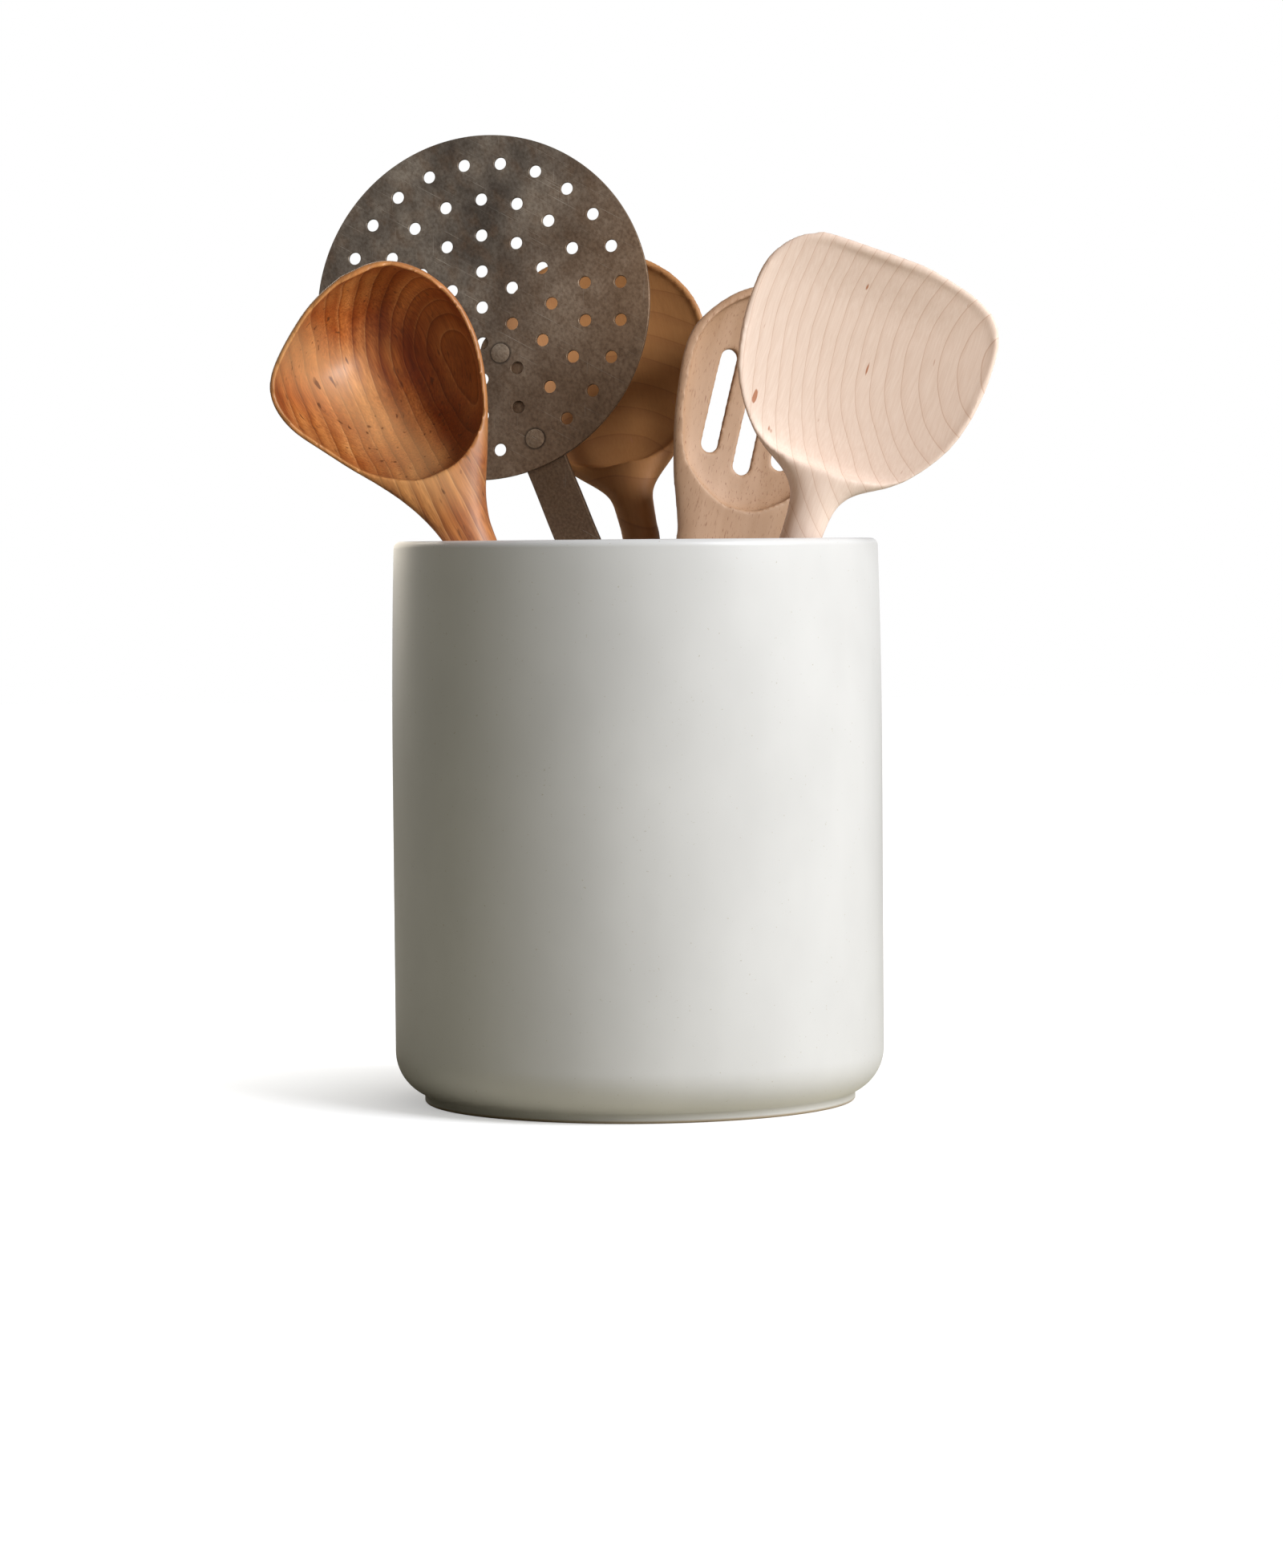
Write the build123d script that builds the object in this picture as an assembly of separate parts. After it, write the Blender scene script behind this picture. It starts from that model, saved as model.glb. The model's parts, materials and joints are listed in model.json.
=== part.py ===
from build123d import *
import math
import os

# A stoneware crock with five kitchen utensils standing in it.
# The origin is the centre of the plane that the foot rests on, +Z is up,
# and -Y is the side that the hollows of the utensils face. Lengths are millimetres.

# Crock: wall, lip, shoulder and foot
crock_radius = 76.0
crock_height = 174.0
crock_wall = 6.0
straight_height = 105.0
lip_draw_in = 1.0
lip_outer_round = 2.2
lip_inner_round = 2.8
shoulder_round = 14.3
floor_thickness = 5.0
floor_round = 10.0
foot_radius = 67.0
foot_height = 2.8
foot_ring_width = 7.0
foot_edge_round = 0.8
foot_recess = 3.0
recess_round = 1.5

# What holds for every utensil. A handle runs from the crock's floor to the plane of its
# lip, and what stands above the lip has sizes of its own. Angles are degrees round the
# crock from +X, for the foot on the floor and for the place where the handle passes the
# lip. A foot share is the foot's distance from the crock's axis, as a share of the bore's
# radius. A turn is how far a utensil is turned about its own handle.
rest_gap = 0.3               # between a utensil at rest and the glazed wall or floor
lift_clearance = 6.0         # how far above the lip a lifted utensil's foot ends
overrun = 16.0               # how far every cutting shape runs past the face it cuts

# Ladle: teak, deep bowl with a pouring corner on its left
ladle_head_length = 88.3
ladle_head_half_width = 35.5
ladle_bowl_depth = 36.0
ladle_handle_half_width = 6.4
ladle_handle_half_depth = 5.2
ladle_rim_width = 1.6
ladle_bowl_wall = 2.6
ladle_foot_share = 0.494
ladle_foot_angle = -40.2
ladle_lip_angle = 215.0
ladle_turn = 0.0

# Scoop: maple, broad shallow hollow with a nearly straight front edge
scoop_head_length = 88.4
scoop_head_half_width = 38.7
scoop_head_depth = 9.5
scoop_hollow_depth = 4.4
scoop_handle_half_width = 6.2
scoop_handle_half_depth = 4.8
scoop_rim_width = 2.1
scoop_foot_share = 0.624
scoop_foot_angle = -102.5
scoop_lip_angle = -37.1
scoop_turn = 0.0

# Wide spoon: maple, round head
spoon_head_length = 96.6
spoon_head_half_width = 35.4
spoon_head_depth = 9.0
spoon_hollow_depth = 6.0
spoon_handle_half_width = 5.9
spoon_handle_half_depth = 4.7
spoon_rim_width = 2.4
spoon_foot_share = 0.72
spoon_foot_angle = 40.1
spoon_lip_angle = 88.2
spoon_turn = 0.0

# Slotted spoon: beech, oval head with three slots on a handle that widens into it
slotted_head_length = 83.0
slotted_head_half_width = 27.9
slotted_head_depth = 8.5
slotted_hollow_depth = 5.6
slotted_handle_half_width = 6.2
slotted_handle_half_depth = 4.7
slotted_rim_width = 2.9
slotted_lip_rise = 7.2       # the leaning neck's outer edge meets the lip this far up the head
slot_width = 5.6
slot_pitch = 11.9
slot_foot = 21.5             # from the base of the head to the lower end of the middle slot
middle_slot_length = 47.0
side_slot_rise = 4.5         # how much higher the outer slots start
side_slot_length = 34.0
slotted_foot_share = 0.442
slotted_foot_angle = 113.2
slotted_lip_angle = 56.7
slotted_turn = 11.0

# Skimmer: flat iron disc on a strap handle, held by two rivets
disc_radius = 56.0
disc_thickness = 1.2
hole_diameter = 4.0
hole_ring_pitch = 11.7
holes_per_ring_step = 6
hole_ring_count = 4
hole_pattern_turn = 22.0     # degrees from the strap to the first hole of an inner ring
strap_width = 13.6
strap_thickness = 2.4
strap_overlap = 47.3         # how far the strap reaches up behind the disc
disc_rise = 26.7             # from the plane of the lip up the strap to the disc's lower edge
rivet_spacing = 30.4
rivet_shank_diameter = 3.6
rivet_head_diameter = 6.2
rivet_head_height = 0.5
rivet_tail_diameter = 6.8
rivet_tail_height = 1.4
skimmer_foot_share = 0.70
skimmer_foot_angle = 9.5
skimmer_lip_angle = 112.4
skimmer_lip_share = 0.708    # its strap stands clear of the lip, this share of the bore's radius out
skimmer_turn = -12.0

# Worked out from the sizes above
bore_radius = crock_radius - lip_draw_in - crock_wall
floor_top = foot_recess + floor_thickness

# The round end of a handle: the angles from its tip at which its sections are cut
round_end_angles = (12, 30, 50, 70, 90)

# Handles: along, left, right and depth, as shares of the handle's length, half width
# (left and right) and half depth.
plain_handle_shares = [
    (0.12, 1.02, 1.02, 1.0),
    (0.3, 1.0, 1.0, 1.0),
    (0.6, 0.94, 0.94, 0.97),
    (0.85, 0.96, 0.96, 0.95),
]
ladle_handle_shares = [
    (0.12, 1.02, 1.02, 1.0),
    (0.3, 1.0, 1.0, 1.0),
    (0.6, 0.94, 0.94, 0.97),
    (0.88, 0.98, 1.06, 0.96),
]
slotted_handle_shares = [
    (0.12, 1.02, 1.02, 1.0),
    (0.3, 1.02, 1.02, 1.0),
    (0.52, 1.16, 1.16, 1.0),
    (0.72, 1.64, 1.64, 1.0),
    (0.88, 2.24, 2.24, 1.0),
]

# Heads: along, left, right, front and back, as shares of the head's length, half width
# (left and right), the handle's half depth (front) and the head's depth (back).
ladle_head_shares = [
    (0.0, 0.194, 0.230, 0.92, 0.144),
    (0.046, 0.209, 0.247, 0.92, 0.155),
    (0.092, 0.238, 0.281, 0.92, 0.169),
    (0.137, 0.276, 0.327, 0.92, 0.19),
    (0.234, 0.389, 0.454, 0.88, 0.28),
    (0.318, 0.518, 0.558, 0.80, 0.43),
    (0.395, 0.650, 0.648, 0.73, 0.62),
    (0.503, 0.817, 0.744, 0.63, 0.83),
    (0.587, 0.940, 0.794, 0.58, 0.94),
    (0.657, 0.995, 0.811, 0.57, 0.985),
    (0.718, 1.0, 0.806, 0.56, 1.0),
    (0.770, 0.960, 0.786, 0.55, 0.98),
    (0.854, 0.766, 0.704, 0.52, 0.87),
    (0.912, 0.563, 0.608, 0.48, 0.72),
    (0.957, 0.366, 0.490, 0.43, 0.52),
    (0.985, 0.17, 0.37, 0.36, 0.32),
    (1.0, 0.03, 0.21, 0.27, 0.13),
]
scoop_head_shares = [
    (0.0, 0.163, 0.163, 0.96, 0.50),
    (0.040, 0.166, 0.166, 0.96, 0.51),
    (0.079, 0.172, 0.172, 0.96, 0.52),
    (0.134, 0.196, 0.196, 0.96, 0.55),
    (0.178, 0.255, 0.255, 0.95, 0.60),
    (0.215, 0.360, 0.360, 0.93, 0.65),
    (0.251, 0.500, 0.500, 0.91, 0.70),
    (0.305, 0.650, 0.650, 0.87, 0.77),
    (0.379, 0.785, 0.785, 0.83, 0.85),
    (0.464, 0.895, 0.895, 0.78, 0.93),
    (0.543, 0.952, 0.952, 0.74, 0.98),
    (0.622, 0.987, 0.987, 0.71, 1.0),
    (0.713, 1.0, 1.0, 0.67, 0.95),
    (0.792, 0.996, 0.996, 0.60, 0.84),
    (0.860, 0.972, 0.972, 0.52, 0.69),
    (0.916, 0.915, 0.905, 0.38, 0.52),
    (0.960, 0.840, 0.770, 0.27, 0.38),
    (0.988, 0.760, 0.600, 0.19, 0.28),
    (1.008, 0.670, 0.400, 0.14, 0.22),
    (1.020, 0.570, 0.160, 0.11, 0.18),
]
spoon_head_shares = [
    (0.0, 0.167, 0.167, 0.96, 0.52),
    (0.036, 0.170, 0.170, 0.96, 0.525),
    (0.072, 0.174, 0.174, 0.96, 0.532),
    (0.106, 0.180, 0.180, 0.96, 0.54),
    (0.159, 0.205, 0.205, 0.96, 0.58),
    (0.201, 0.290, 0.290, 0.94, 0.64),
    (0.233, 0.385, 0.385, 0.92, 0.69),
    (0.275, 0.505, 0.505, 0.89, 0.75),
    (0.349, 0.664, 0.664, 0.84, 0.84),
    (0.433, 0.808, 0.808, 0.79, 0.92),
    (0.529, 0.921, 0.921, 0.74, 0.98),
    (0.613, 0.983, 0.983, 0.70, 1.0),
    (0.698, 1.0, 1.0, 0.66, 0.96),
    (0.782, 0.949, 0.949, 0.60, 0.86),
    (0.851, 0.847, 0.847, 0.53, 0.74),
    (0.909, 0.706, 0.706, 0.45, 0.60),
    (0.951, 0.551, 0.551, 0.37, 0.46),
    (0.983, 0.353, 0.353, 0.29, 0.32),
    (1.0, 0.155, 0.155, 0.20, 0.18),
]
slotted_head_shares = [
    (0.0, 0.600, 0.600, 0.97, 0.56),
    (0.056, 0.652, 0.652, 0.965, 0.59),
    (0.112, 0.708, 0.708, 0.955, 0.62),
    (0.169, 0.767, 0.767, 0.95, 0.66),
    (0.289, 0.860, 0.860, 0.92, 0.77),
    (0.410, 0.935, 0.935, 0.88, 0.88),
    (0.535, 0.979, 0.979, 0.83, 0.97),
    (0.627, 1.0, 1.0, 0.79, 1.0),
    (0.711, 0.989, 0.989, 0.74, 0.96),
    (0.778, 0.932, 0.932, 0.69, 0.88),
    (0.831, 0.839, 0.839, 0.63, 0.78),
    (0.880, 0.724, 0.724, 0.56, 0.67),
    (0.928, 0.580, 0.580, 0.47, 0.54),
    (0.964, 0.427, 0.427, 0.38, 0.41),
    (0.990, 0.262, 0.262, 0.29, 0.28),
    (1.0, 0.150, 0.150, 0.22, 0.20),
]

# Hollows: along, left, right and depth, as shares of the head's length, of its half
# width less the rim, and of the hollow's depth. Each starts and ends in a small blunt end.
ladle_hollow_shares = [
    (0.257, 0.069, 0.118, 0.04),
    (0.268, 0.197, 0.256, 0.10),
    (0.303, 0.369, 0.424, 0.27),
    (0.353, 0.537, 0.563, 0.46),
    (0.430, 0.692, 0.666, 0.70),
    (0.510, 0.815, 0.736, 0.85),
    (0.590, 0.937, 0.785, 0.95),
    (0.657, 0.994, 0.803, 0.99),
    (0.718, 1.0, 0.797, 1.0),
    (0.770, 0.952, 0.775, 0.97),
    (0.815, 0.849, 0.734, 0.92),
    (0.850, 0.739, 0.690, 0.86),
    (0.880, 0.629, 0.643, 0.78),
    (0.905, 0.533, 0.590, 0.70),
    (0.928, 0.432, 0.527, 0.59),
    (0.946, 0.331, 0.475, 0.47),
    (0.960, 0.229, 0.423, 0.35),
    (0.970, 0.144, 0.355, 0.24),
    (0.978, 0.068, 0.270, 0.12),
]
scoop_hollow_shares = [
    (0.246, 0.16, 0.16, 0.14),
    (0.258, 0.34, 0.34, 0.31),
    (0.286, 0.560, 0.560, 0.52),
    (0.332, 0.705, 0.705, 0.70),
    (0.397, 0.820, 0.820, 0.86),
    (0.478, 0.905, 0.905, 0.96),
    (0.565, 0.960, 0.960, 1.0),
    (0.655, 0.990, 0.990, 0.98),
    (0.745, 1.0, 1.0, 0.88),
    (0.825, 0.980, 0.980, 0.75),
    (0.890, 0.920, 0.910, 0.52),
    (0.940, 0.830, 0.765, 0.30),
    (0.970, 0.730, 0.560, 0.16),
    (0.990, 0.590, 0.300, 0.07),
]
spoon_hollow_shares = [
    (0.264, 0.12, 0.12, 0.10),
    (0.278, 0.28, 0.28, 0.27),
    (0.310, 0.480, 0.480, 0.50),
    (0.370, 0.660, 0.660, 0.72),
    (0.450, 0.810, 0.810, 0.88),
    (0.540, 0.925, 0.925, 0.97),
    (0.620, 0.985, 0.985, 1.0),
    (0.698, 1.0, 1.0, 0.98),
    (0.778, 0.945, 0.945, 0.88),
    (0.843, 0.838, 0.838, 0.73),
    (0.898, 0.680, 0.680, 0.55),
    (0.940, 0.490, 0.490, 0.36),
    (0.970, 0.200, 0.200, 0.13),
]
slotted_hollow_shares = [
    (0.120, 0.12, 0.12, 0.10),
    (0.135, 0.29, 0.29, 0.26),
    (0.170, 0.480, 0.480, 0.44),
    (0.229, 0.700, 0.700, 0.62),
    (0.301, 0.840, 0.840, 0.78),
    (0.410, 0.936, 0.936, 0.93),
    (0.530, 0.984, 0.984, 1.0),
    (0.640, 1.0, 1.0, 1.0),
    (0.735, 0.966, 0.966, 0.91),
    (0.815, 0.850, 0.850, 0.76),
    (0.880, 0.665, 0.665, 0.57),
    (0.930, 0.445, 0.445, 0.36),
    (0.968, 0.160, 0.160, 0.11),
]


def arc_about(x, z, radius, start, sweep):
    return CenterArc((x, z), radius, start, sweep)


def crock():
    lip_outer_radius = crock_radius - lip_draw_in
    lip_start = crock_height - lip_outer_round
    lip_outer = lip_outer_radius - lip_outer_round
    lip_inner = bore_radius + lip_inner_round
    ring_inner = foot_radius - foot_ring_width
    # The shoulder's arc ends upright on the wall and meets the foot's top edge.
    shoulder_x = crock_radius - shoulder_round
    foot_x = foot_radius - shoulder_x
    shoulder_z = foot_height + math.sqrt(shoulder_round**2 - foot_x**2)
    shoulder_turn = math.degrees(math.asin((shoulder_z - foot_height) / shoulder_round))
    # The wall's slow curve starts upright and is drawn in at the lip.
    draw_height = lip_start - straight_height
    draw_radius = (draw_height**2 + lip_draw_in**2) / (lip_draw_in + lip_draw_in)
    draw_turn = math.degrees(math.asin(draw_height / draw_radius))
    outline = [
        Line((0, foot_recess), (ring_inner - recess_round, foot_recess)),
        arc_about(ring_inner - recess_round, foot_recess - recess_round, recess_round, 90, -90),
        Line((ring_inner, foot_recess - recess_round), (ring_inner, foot_edge_round)),
        arc_about(ring_inner + foot_edge_round, foot_edge_round, foot_edge_round, 180, 90),
        Line((ring_inner + foot_edge_round, 0), (foot_radius - foot_edge_round, 0)),
        arc_about(foot_radius - foot_edge_round, foot_edge_round, foot_edge_round, -90, 90),
        Line((foot_radius, foot_edge_round), (foot_radius, foot_height)),
        arc_about(shoulder_x, shoulder_z, shoulder_round, -shoulder_turn, shoulder_turn),
        Line((crock_radius, shoulder_z), (crock_radius, straight_height)),
        arc_about(crock_radius - draw_radius, straight_height, draw_radius, 0, draw_turn),
        arc_about(lip_outer, lip_start, lip_outer_round, 0, 90),
        Line((lip_outer, crock_height), (lip_inner, crock_height)),
        arc_about(lip_inner, crock_height - lip_inner_round, lip_inner_round, 90, 90),
        Line((bore_radius, crock_height - lip_inner_round), (bore_radius, floor_top + floor_round)),
        arc_about(bore_radius - floor_round, floor_top + floor_round, floor_round, 0, -90),
        Line((bore_radius - floor_round, floor_top), (0, floor_top)),
        Line((0, floor_top), (0, foot_recess)),
    ]
    profile = Plane.XZ * make_face(outline)
    return revolve(profile, Axis.Z)


def egg_section(along, left, right, front, back):
    # Two half ellipses, shallow at the front and deeper at the back, joined at the sides.
    middle = ((right - left) / 2, 0)
    half = (right + left) / 2
    front_half = EllipticalCenterArc(middle, half, front, start_angle=180, arc_size=180)
    back_half = EllipticalCenterArc(middle, half, back, start_angle=0, arc_size=180)
    wire = Wire([front_half.edge(), back_half.edge()])
    return wire.moved(Location((0, 0, along)))


def rounded_end(half_width, half_depth):
    # A round cap as long as the handle's half width, blunt at its very tip.
    sections = []
    for angle in round_end_angles:
        turn = math.radians(angle)
        wide = half_width * math.sin(turn)
        deep = half_depth * math.sin(turn)
        sections.append(egg_section(half_width * (1 - math.cos(turn)), wide, wide, deep, deep))
    return Solid.make_loft(sections)


def handle(length, half_width, half_depth, shares, joining_section):
    sections = [egg_section(half_width, half_width, half_width, half_depth, half_depth)]
    for along, left, right, depth in shares:
        deep = half_depth * depth
        sections.append(egg_section(length * along, half_width * left, half_width * right, deep, deep))
    sections.append(joining_section)
    return rounded_end(half_width, half_depth) + Solid.make_loft(sections)


def head_sections(base, head_sizes, front_depth, shares):
    length, half_width, back_depth = head_sizes
    sections = []
    for along, left, right, front, back in shares:
        place = base + length * along
        wide = (half_width * left, half_width * right)
        sections.append(egg_section(place, *wide, front_depth * front, back_depth * back))
    return sections


def bowl_section(along, left, right, depth):
    return egg_section(along, left, right, overrun, depth)


def dish_section(along, left, right, depth):
    # A shallow arc across the head, whose ends flare out past the head's front.
    middle = (right - left) / 2
    front_left, front_right = (-left - overrun, -overrun), (right + overrun, -overrun)
    wire = Wire([
        ThreePointArc((-left, 0), (middle, depth), (right, 0)).edge(),
        Line((right, 0), front_right).edge(),
        Line(front_right, front_left).edge(),
        Line(front_left, (-left, 0)).edge(),
    ])
    return wire.moved(Location((0, 0, along)))


def hollow(base, hollow_sizes, shares, section):
    length, half_width, depth = hollow_sizes
    sections = []
    for along, left, right, deep in shares:
        place = base + length * along
        sections.append(section(place, half_width * left, half_width * right, depth * deep))
    return Solid.make_loft(sections)


def wooden_body(handle_sizes, handle_shares, head_sizes, head_shares):
    # The handle's last section is the head's first, so the two share a face before they are joined.
    length, half_width, half_depth = handle_sizes
    sections = head_sections(length, head_sizes, half_depth, head_shares)
    return handle(length, half_width, half_depth, handle_shares, sections[0]) + Solid.make_loft(sections)


def ladle(handle_length):
    handle_sizes = (handle_length, ladle_handle_half_width, ladle_handle_half_depth)
    head_sizes = (ladle_head_length, ladle_head_half_width, ladle_bowl_depth)
    body = wooden_body(handle_sizes, ladle_handle_shares, head_sizes, ladle_head_shares)
    inner_width = ladle_head_half_width - ladle_rim_width
    inner_depth = ladle_bowl_depth - ladle_bowl_wall
    hollow_sizes = (ladle_head_length, inner_width, inner_depth)
    return body - hollow(handle_length, hollow_sizes, ladle_hollow_shares, bowl_section)


def scoop(handle_length):
    handle_sizes = (handle_length, scoop_handle_half_width, scoop_handle_half_depth)
    head_sizes = (scoop_head_length, scoop_head_half_width, scoop_head_depth)
    body = wooden_body(handle_sizes, plain_handle_shares, head_sizes, scoop_head_shares)
    hollow_sizes = (scoop_head_length, scoop_head_half_width - scoop_rim_width, scoop_hollow_depth)
    return body - hollow(handle_length, hollow_sizes, scoop_hollow_shares, dish_section)


def wide_spoon(handle_length):
    handle_sizes = (handle_length, spoon_handle_half_width, spoon_handle_half_depth)
    head_sizes = (spoon_head_length, spoon_head_half_width, spoon_head_depth)
    body = wooden_body(handle_sizes, plain_handle_shares, head_sizes, spoon_head_shares)
    hollow_sizes = (spoon_head_length, spoon_head_half_width - spoon_rim_width, spoon_hollow_depth)
    return body - hollow(handle_length, hollow_sizes, spoon_hollow_shares, dish_section)


def slot_cutter(x, foot, length):
    # A round-ended slot that runs from front to back, its foot a distance up the handle's axis.
    outline = Plane.XZ * Pos(x, foot + length / 2) * SlotOverall(length, slot_width, rotation=90)
    return extrude(outline, amount=overrun, both=True)


def slotted_neck_half_width():
    # At the height where the leaning neck's outer edge meets the lip.
    below, above = slotted_head_shares[1:3]
    share = (slotted_lip_rise / slotted_head_length - below[0]) / (above[0] - below[0])
    return slotted_head_half_width * (below[1] + (above[1] - below[1]) * share)


def slotted_spoon(handle_length):
    handle_sizes = (handle_length, slotted_handle_half_width, slotted_handle_half_depth)
    head_sizes = (slotted_head_length, slotted_head_half_width, slotted_head_depth)
    spoon = wooden_body(handle_sizes, slotted_handle_shares, head_sizes, slotted_head_shares)
    hollow_sizes = (slotted_head_length, slotted_head_half_width - slotted_rim_width, slotted_hollow_depth)
    spoon -= hollow(handle_length, hollow_sizes, slotted_hollow_shares, bowl_section)
    middle_foot = handle_length + slot_foot
    spoon -= slot_cutter(0, middle_foot, middle_slot_length)
    for side in (-1, 1):
        spoon -= slot_cutter(side * slot_pitch, middle_foot + side_slot_rise, side_slot_length)
    return spoon


def disc_centre(lip_place):
    return lip_place + disc_rise + disc_radius


def rivet_places(lip_place):
    # The lower rivet stands on the outer ring of holes, in place of a hole.
    lower = disc_centre(lip_place) - hole_ring_pitch * hole_ring_count
    return (lower, lower + rivet_spacing)


def hole_places(lip_place):
    centre = disc_centre(lip_place)
    lower_rivet = (0, rivet_places(lip_place)[0])
    places = [(0, centre)]
    for ring in range(1, hole_ring_count + 1):
        count = holes_per_ring_step * ring
        radius = hole_ring_pitch * ring
        start = 90 if ring == hole_ring_count else 90 - hole_pattern_turn
        for step in range(count):
            angle = math.radians(start + 360 * step / count)
            place = (radius * math.cos(angle), centre + radius * math.sin(angle))
            if math.dist(place, lower_rivet) > hole_diameter:
                places.append(place)
    return places


def skimmer_disc(lip_place):
    # Disc and strap meet in the plane of the strap's front face.
    outline = Pos(0, disc_centre(lip_place)) * Circle(disc_radius)
    for x, height in hole_places(lip_place):
        outline -= Pos(x, height) * Circle(hole_diameter / 2)
    for height in rivet_places(lip_place):
        outline -= Pos(0, height) * Circle(rivet_shank_diameter / 2)
    return extrude(Plane.XZ * outline, amount=disc_thickness)


def skimmer_handle(lip_place):
    length = lip_place + disc_rise + strap_overlap
    outline = Pos(0, length / 2) * SlotOverall(length, strap_width, rotation=90)
    for height in rivet_places(lip_place):
        outline -= Pos(0, height) * Circle(rivet_shank_diameter / 2)
    return extrude(Plane.XZ * outline, amount=-strap_thickness)


def rivet(height):
    # A turned profile: low head, shank through both plates, and the hammered tail behind.
    head_radius = rivet_head_diameter / 2
    shank_radius = rivet_shank_diameter / 2
    tail_radius = rivet_tail_diameter / 2
    front = -disc_thickness
    head_front = front - rivet_head_height
    back = strap_thickness
    tail_back = back + rivet_tail_height
    slant = math.sqrt(0.5)
    tail_shoulder = (tail_radius * slant, back + rivet_tail_height * slant)
    outline = [
        Line((0, head_front), (0, tail_back)),
        ThreePointArc((0, tail_back), tail_shoulder, (tail_radius, back)),
        Line((tail_radius, back), (shank_radius, back)),
        Line((shank_radius, back), (shank_radius, front)),
        Line((shank_radius, front), (head_radius, front)),
        Line((head_radius, front), (head_radius - rivet_head_height, head_front)),
        Line((head_radius - rivet_head_height, head_front), (0, head_front)),
    ]
    return Pos(0, 0, height) * revolve(make_face(outline), Axis.Y)


def skimmer_rivets(lip_place):
    return Compound(children=[rivet(height).solid() for height in rivet_places(lip_place)])


def polar(radius, angle, height):
    turn = math.radians(angle)
    return Vector(radius * math.cos(turn), radius * math.sin(turn), height)


def lip_radius(angle, half_width, half_depth, turn):
    # How far out the axis of an elliptical handle can stand at an angle round the crock
    # with every point of the handle a rest gap inside the bore.
    limit = bore_radius - rest_gap
    away = math.radians(angle)
    tilt = math.radians(turn)
    farthest = []
    for step in range(0, 360, 5):
        side = half_width * math.cos(math.radians(step))
        deep = half_depth * math.sin(math.radians(step))
        x = side * math.cos(tilt) - deep * math.sin(tilt)
        y = side * math.sin(tilt) + deep * math.cos(tilt)
        outward = x * math.cos(away) + y * math.sin(away)
        farthest.append(math.sqrt(outward**2 + limit**2 - x**2 - y**2) - outward)
    return min(farthest)


def lean_on_lip(foot, angle, neck_half_width, half_depth, turn):
    # A leaning handle is cut wider by the lip's plane, so its place there is found twice.
    stretch = 1
    for _ in range(2):
        lip_out = lip_radius(angle, neck_half_width * stretch, half_depth * stretch, turn)
        axis = (polar(lip_out, angle, crock_height) - foot).normalized()
        stretch = 1 / axis.Z
    return axis


def stance(foot, axis, turn, half_width, end_drop):
    # The plane whose origin is the utensil's foot, whose Z runs up its handle and whose -Y is
    # its front. End drop gives how far the handle's end reaches below the middle of its round.
    across = Vector(0, 1, 0).cross(axis).normalized()
    turned = across.rotate(Axis((0, 0, 0), axis), turn)
    tip = abs(axis.cross(turned).Z)
    level = math.sqrt(1 - tip**2)
    seated = foot + axis * ((end_drop(level, tip) - half_width * axis.Z + rest_gap) / axis.Z)
    travel = (crock_height - floor_top) / axis.Z + lift_clearance
    print("foot", seated, "axis", axis, "travel", round(travel, 1))
    return Plane(origin=seated, x_dir=turned, z_dir=axis)


def wooden_stance(foot_share, foot_angle, lip_angle, turn, half_width, half_depth, neck_half_width):
    foot = polar(bore_radius * foot_share, foot_angle, floor_top)
    axis = lean_on_lip(foot, lip_angle, neck_half_width, half_depth, turn)
    return stance(
        foot, axis, turn, half_width, lambda level, tip: math.hypot(half_width * level, half_depth * tip)
    )


def skimmer_stance():
    foot = polar(bore_radius * skimmer_foot_share, skimmer_foot_angle, floor_top)
    lip_place = polar(bore_radius * skimmer_lip_share, skimmer_lip_angle, crock_height)
    half_width = strap_width / 2
    return stance(
        foot, (lip_place - foot).normalized(), skimmer_turn, half_width,
        lambda level, tip: half_width * level + strap_thickness * tip,
    )


def stand(plane, make):
    # A handle's length is the way from the foot up its axis to the plane of the lip.
    handle_length = (crock_height - plane.origin.Z) / plane.z_dir.Z
    return plane.location * make(handle_length)


def save(shape, name):
    export_step(shape, "parts/" + name + ".step")


def place_all():
    ladle_plane = wooden_stance(
        ladle_foot_share, ladle_foot_angle, ladle_lip_angle, ladle_turn,
        ladle_handle_half_width, ladle_handle_half_depth, ladle_head_half_width * ladle_head_shares[0][1],
    )
    scoop_plane = wooden_stance(
        scoop_foot_share, scoop_foot_angle, scoop_lip_angle, scoop_turn,
        scoop_handle_half_width, scoop_handle_half_depth, scoop_head_half_width * scoop_head_shares[0][1],
    )
    spoon_plane = wooden_stance(
        spoon_foot_share, spoon_foot_angle, spoon_lip_angle, spoon_turn,
        spoon_handle_half_width, spoon_handle_half_depth, spoon_head_half_width * spoon_head_shares[0][1],
    )
    slotted_plane = wooden_stance(
        slotted_foot_share, slotted_foot_angle, slotted_lip_angle, slotted_turn,
        slotted_handle_half_width, slotted_handle_half_depth, slotted_neck_half_width(),
    )
    skimmer_plane = skimmer_stance()
    return {
        "crock": crock(),
        "ladle": stand(ladle_plane, ladle),
        "scoop": stand(scoop_plane, scoop),
        "wide_spoon": stand(spoon_plane, wide_spoon),
        "slotted_spoon": stand(slotted_plane, slotted_spoon),
        "skimmer_disc": stand(skimmer_plane, skimmer_disc),
        "skimmer_handle": stand(skimmer_plane, skimmer_handle),
        "skimmer_rivets": stand(skimmer_plane, skimmer_rivets),
    }


os.makedirs("parts", exist_ok=True)
for node, shape in place_all().items():
    save(shape, node)
    print(node, round(shape.volume / 1000, 1), "cm3")
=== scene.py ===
import bpy
import bmesh
import json
import math
from mathutils import Matrix, Vector, noise


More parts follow.
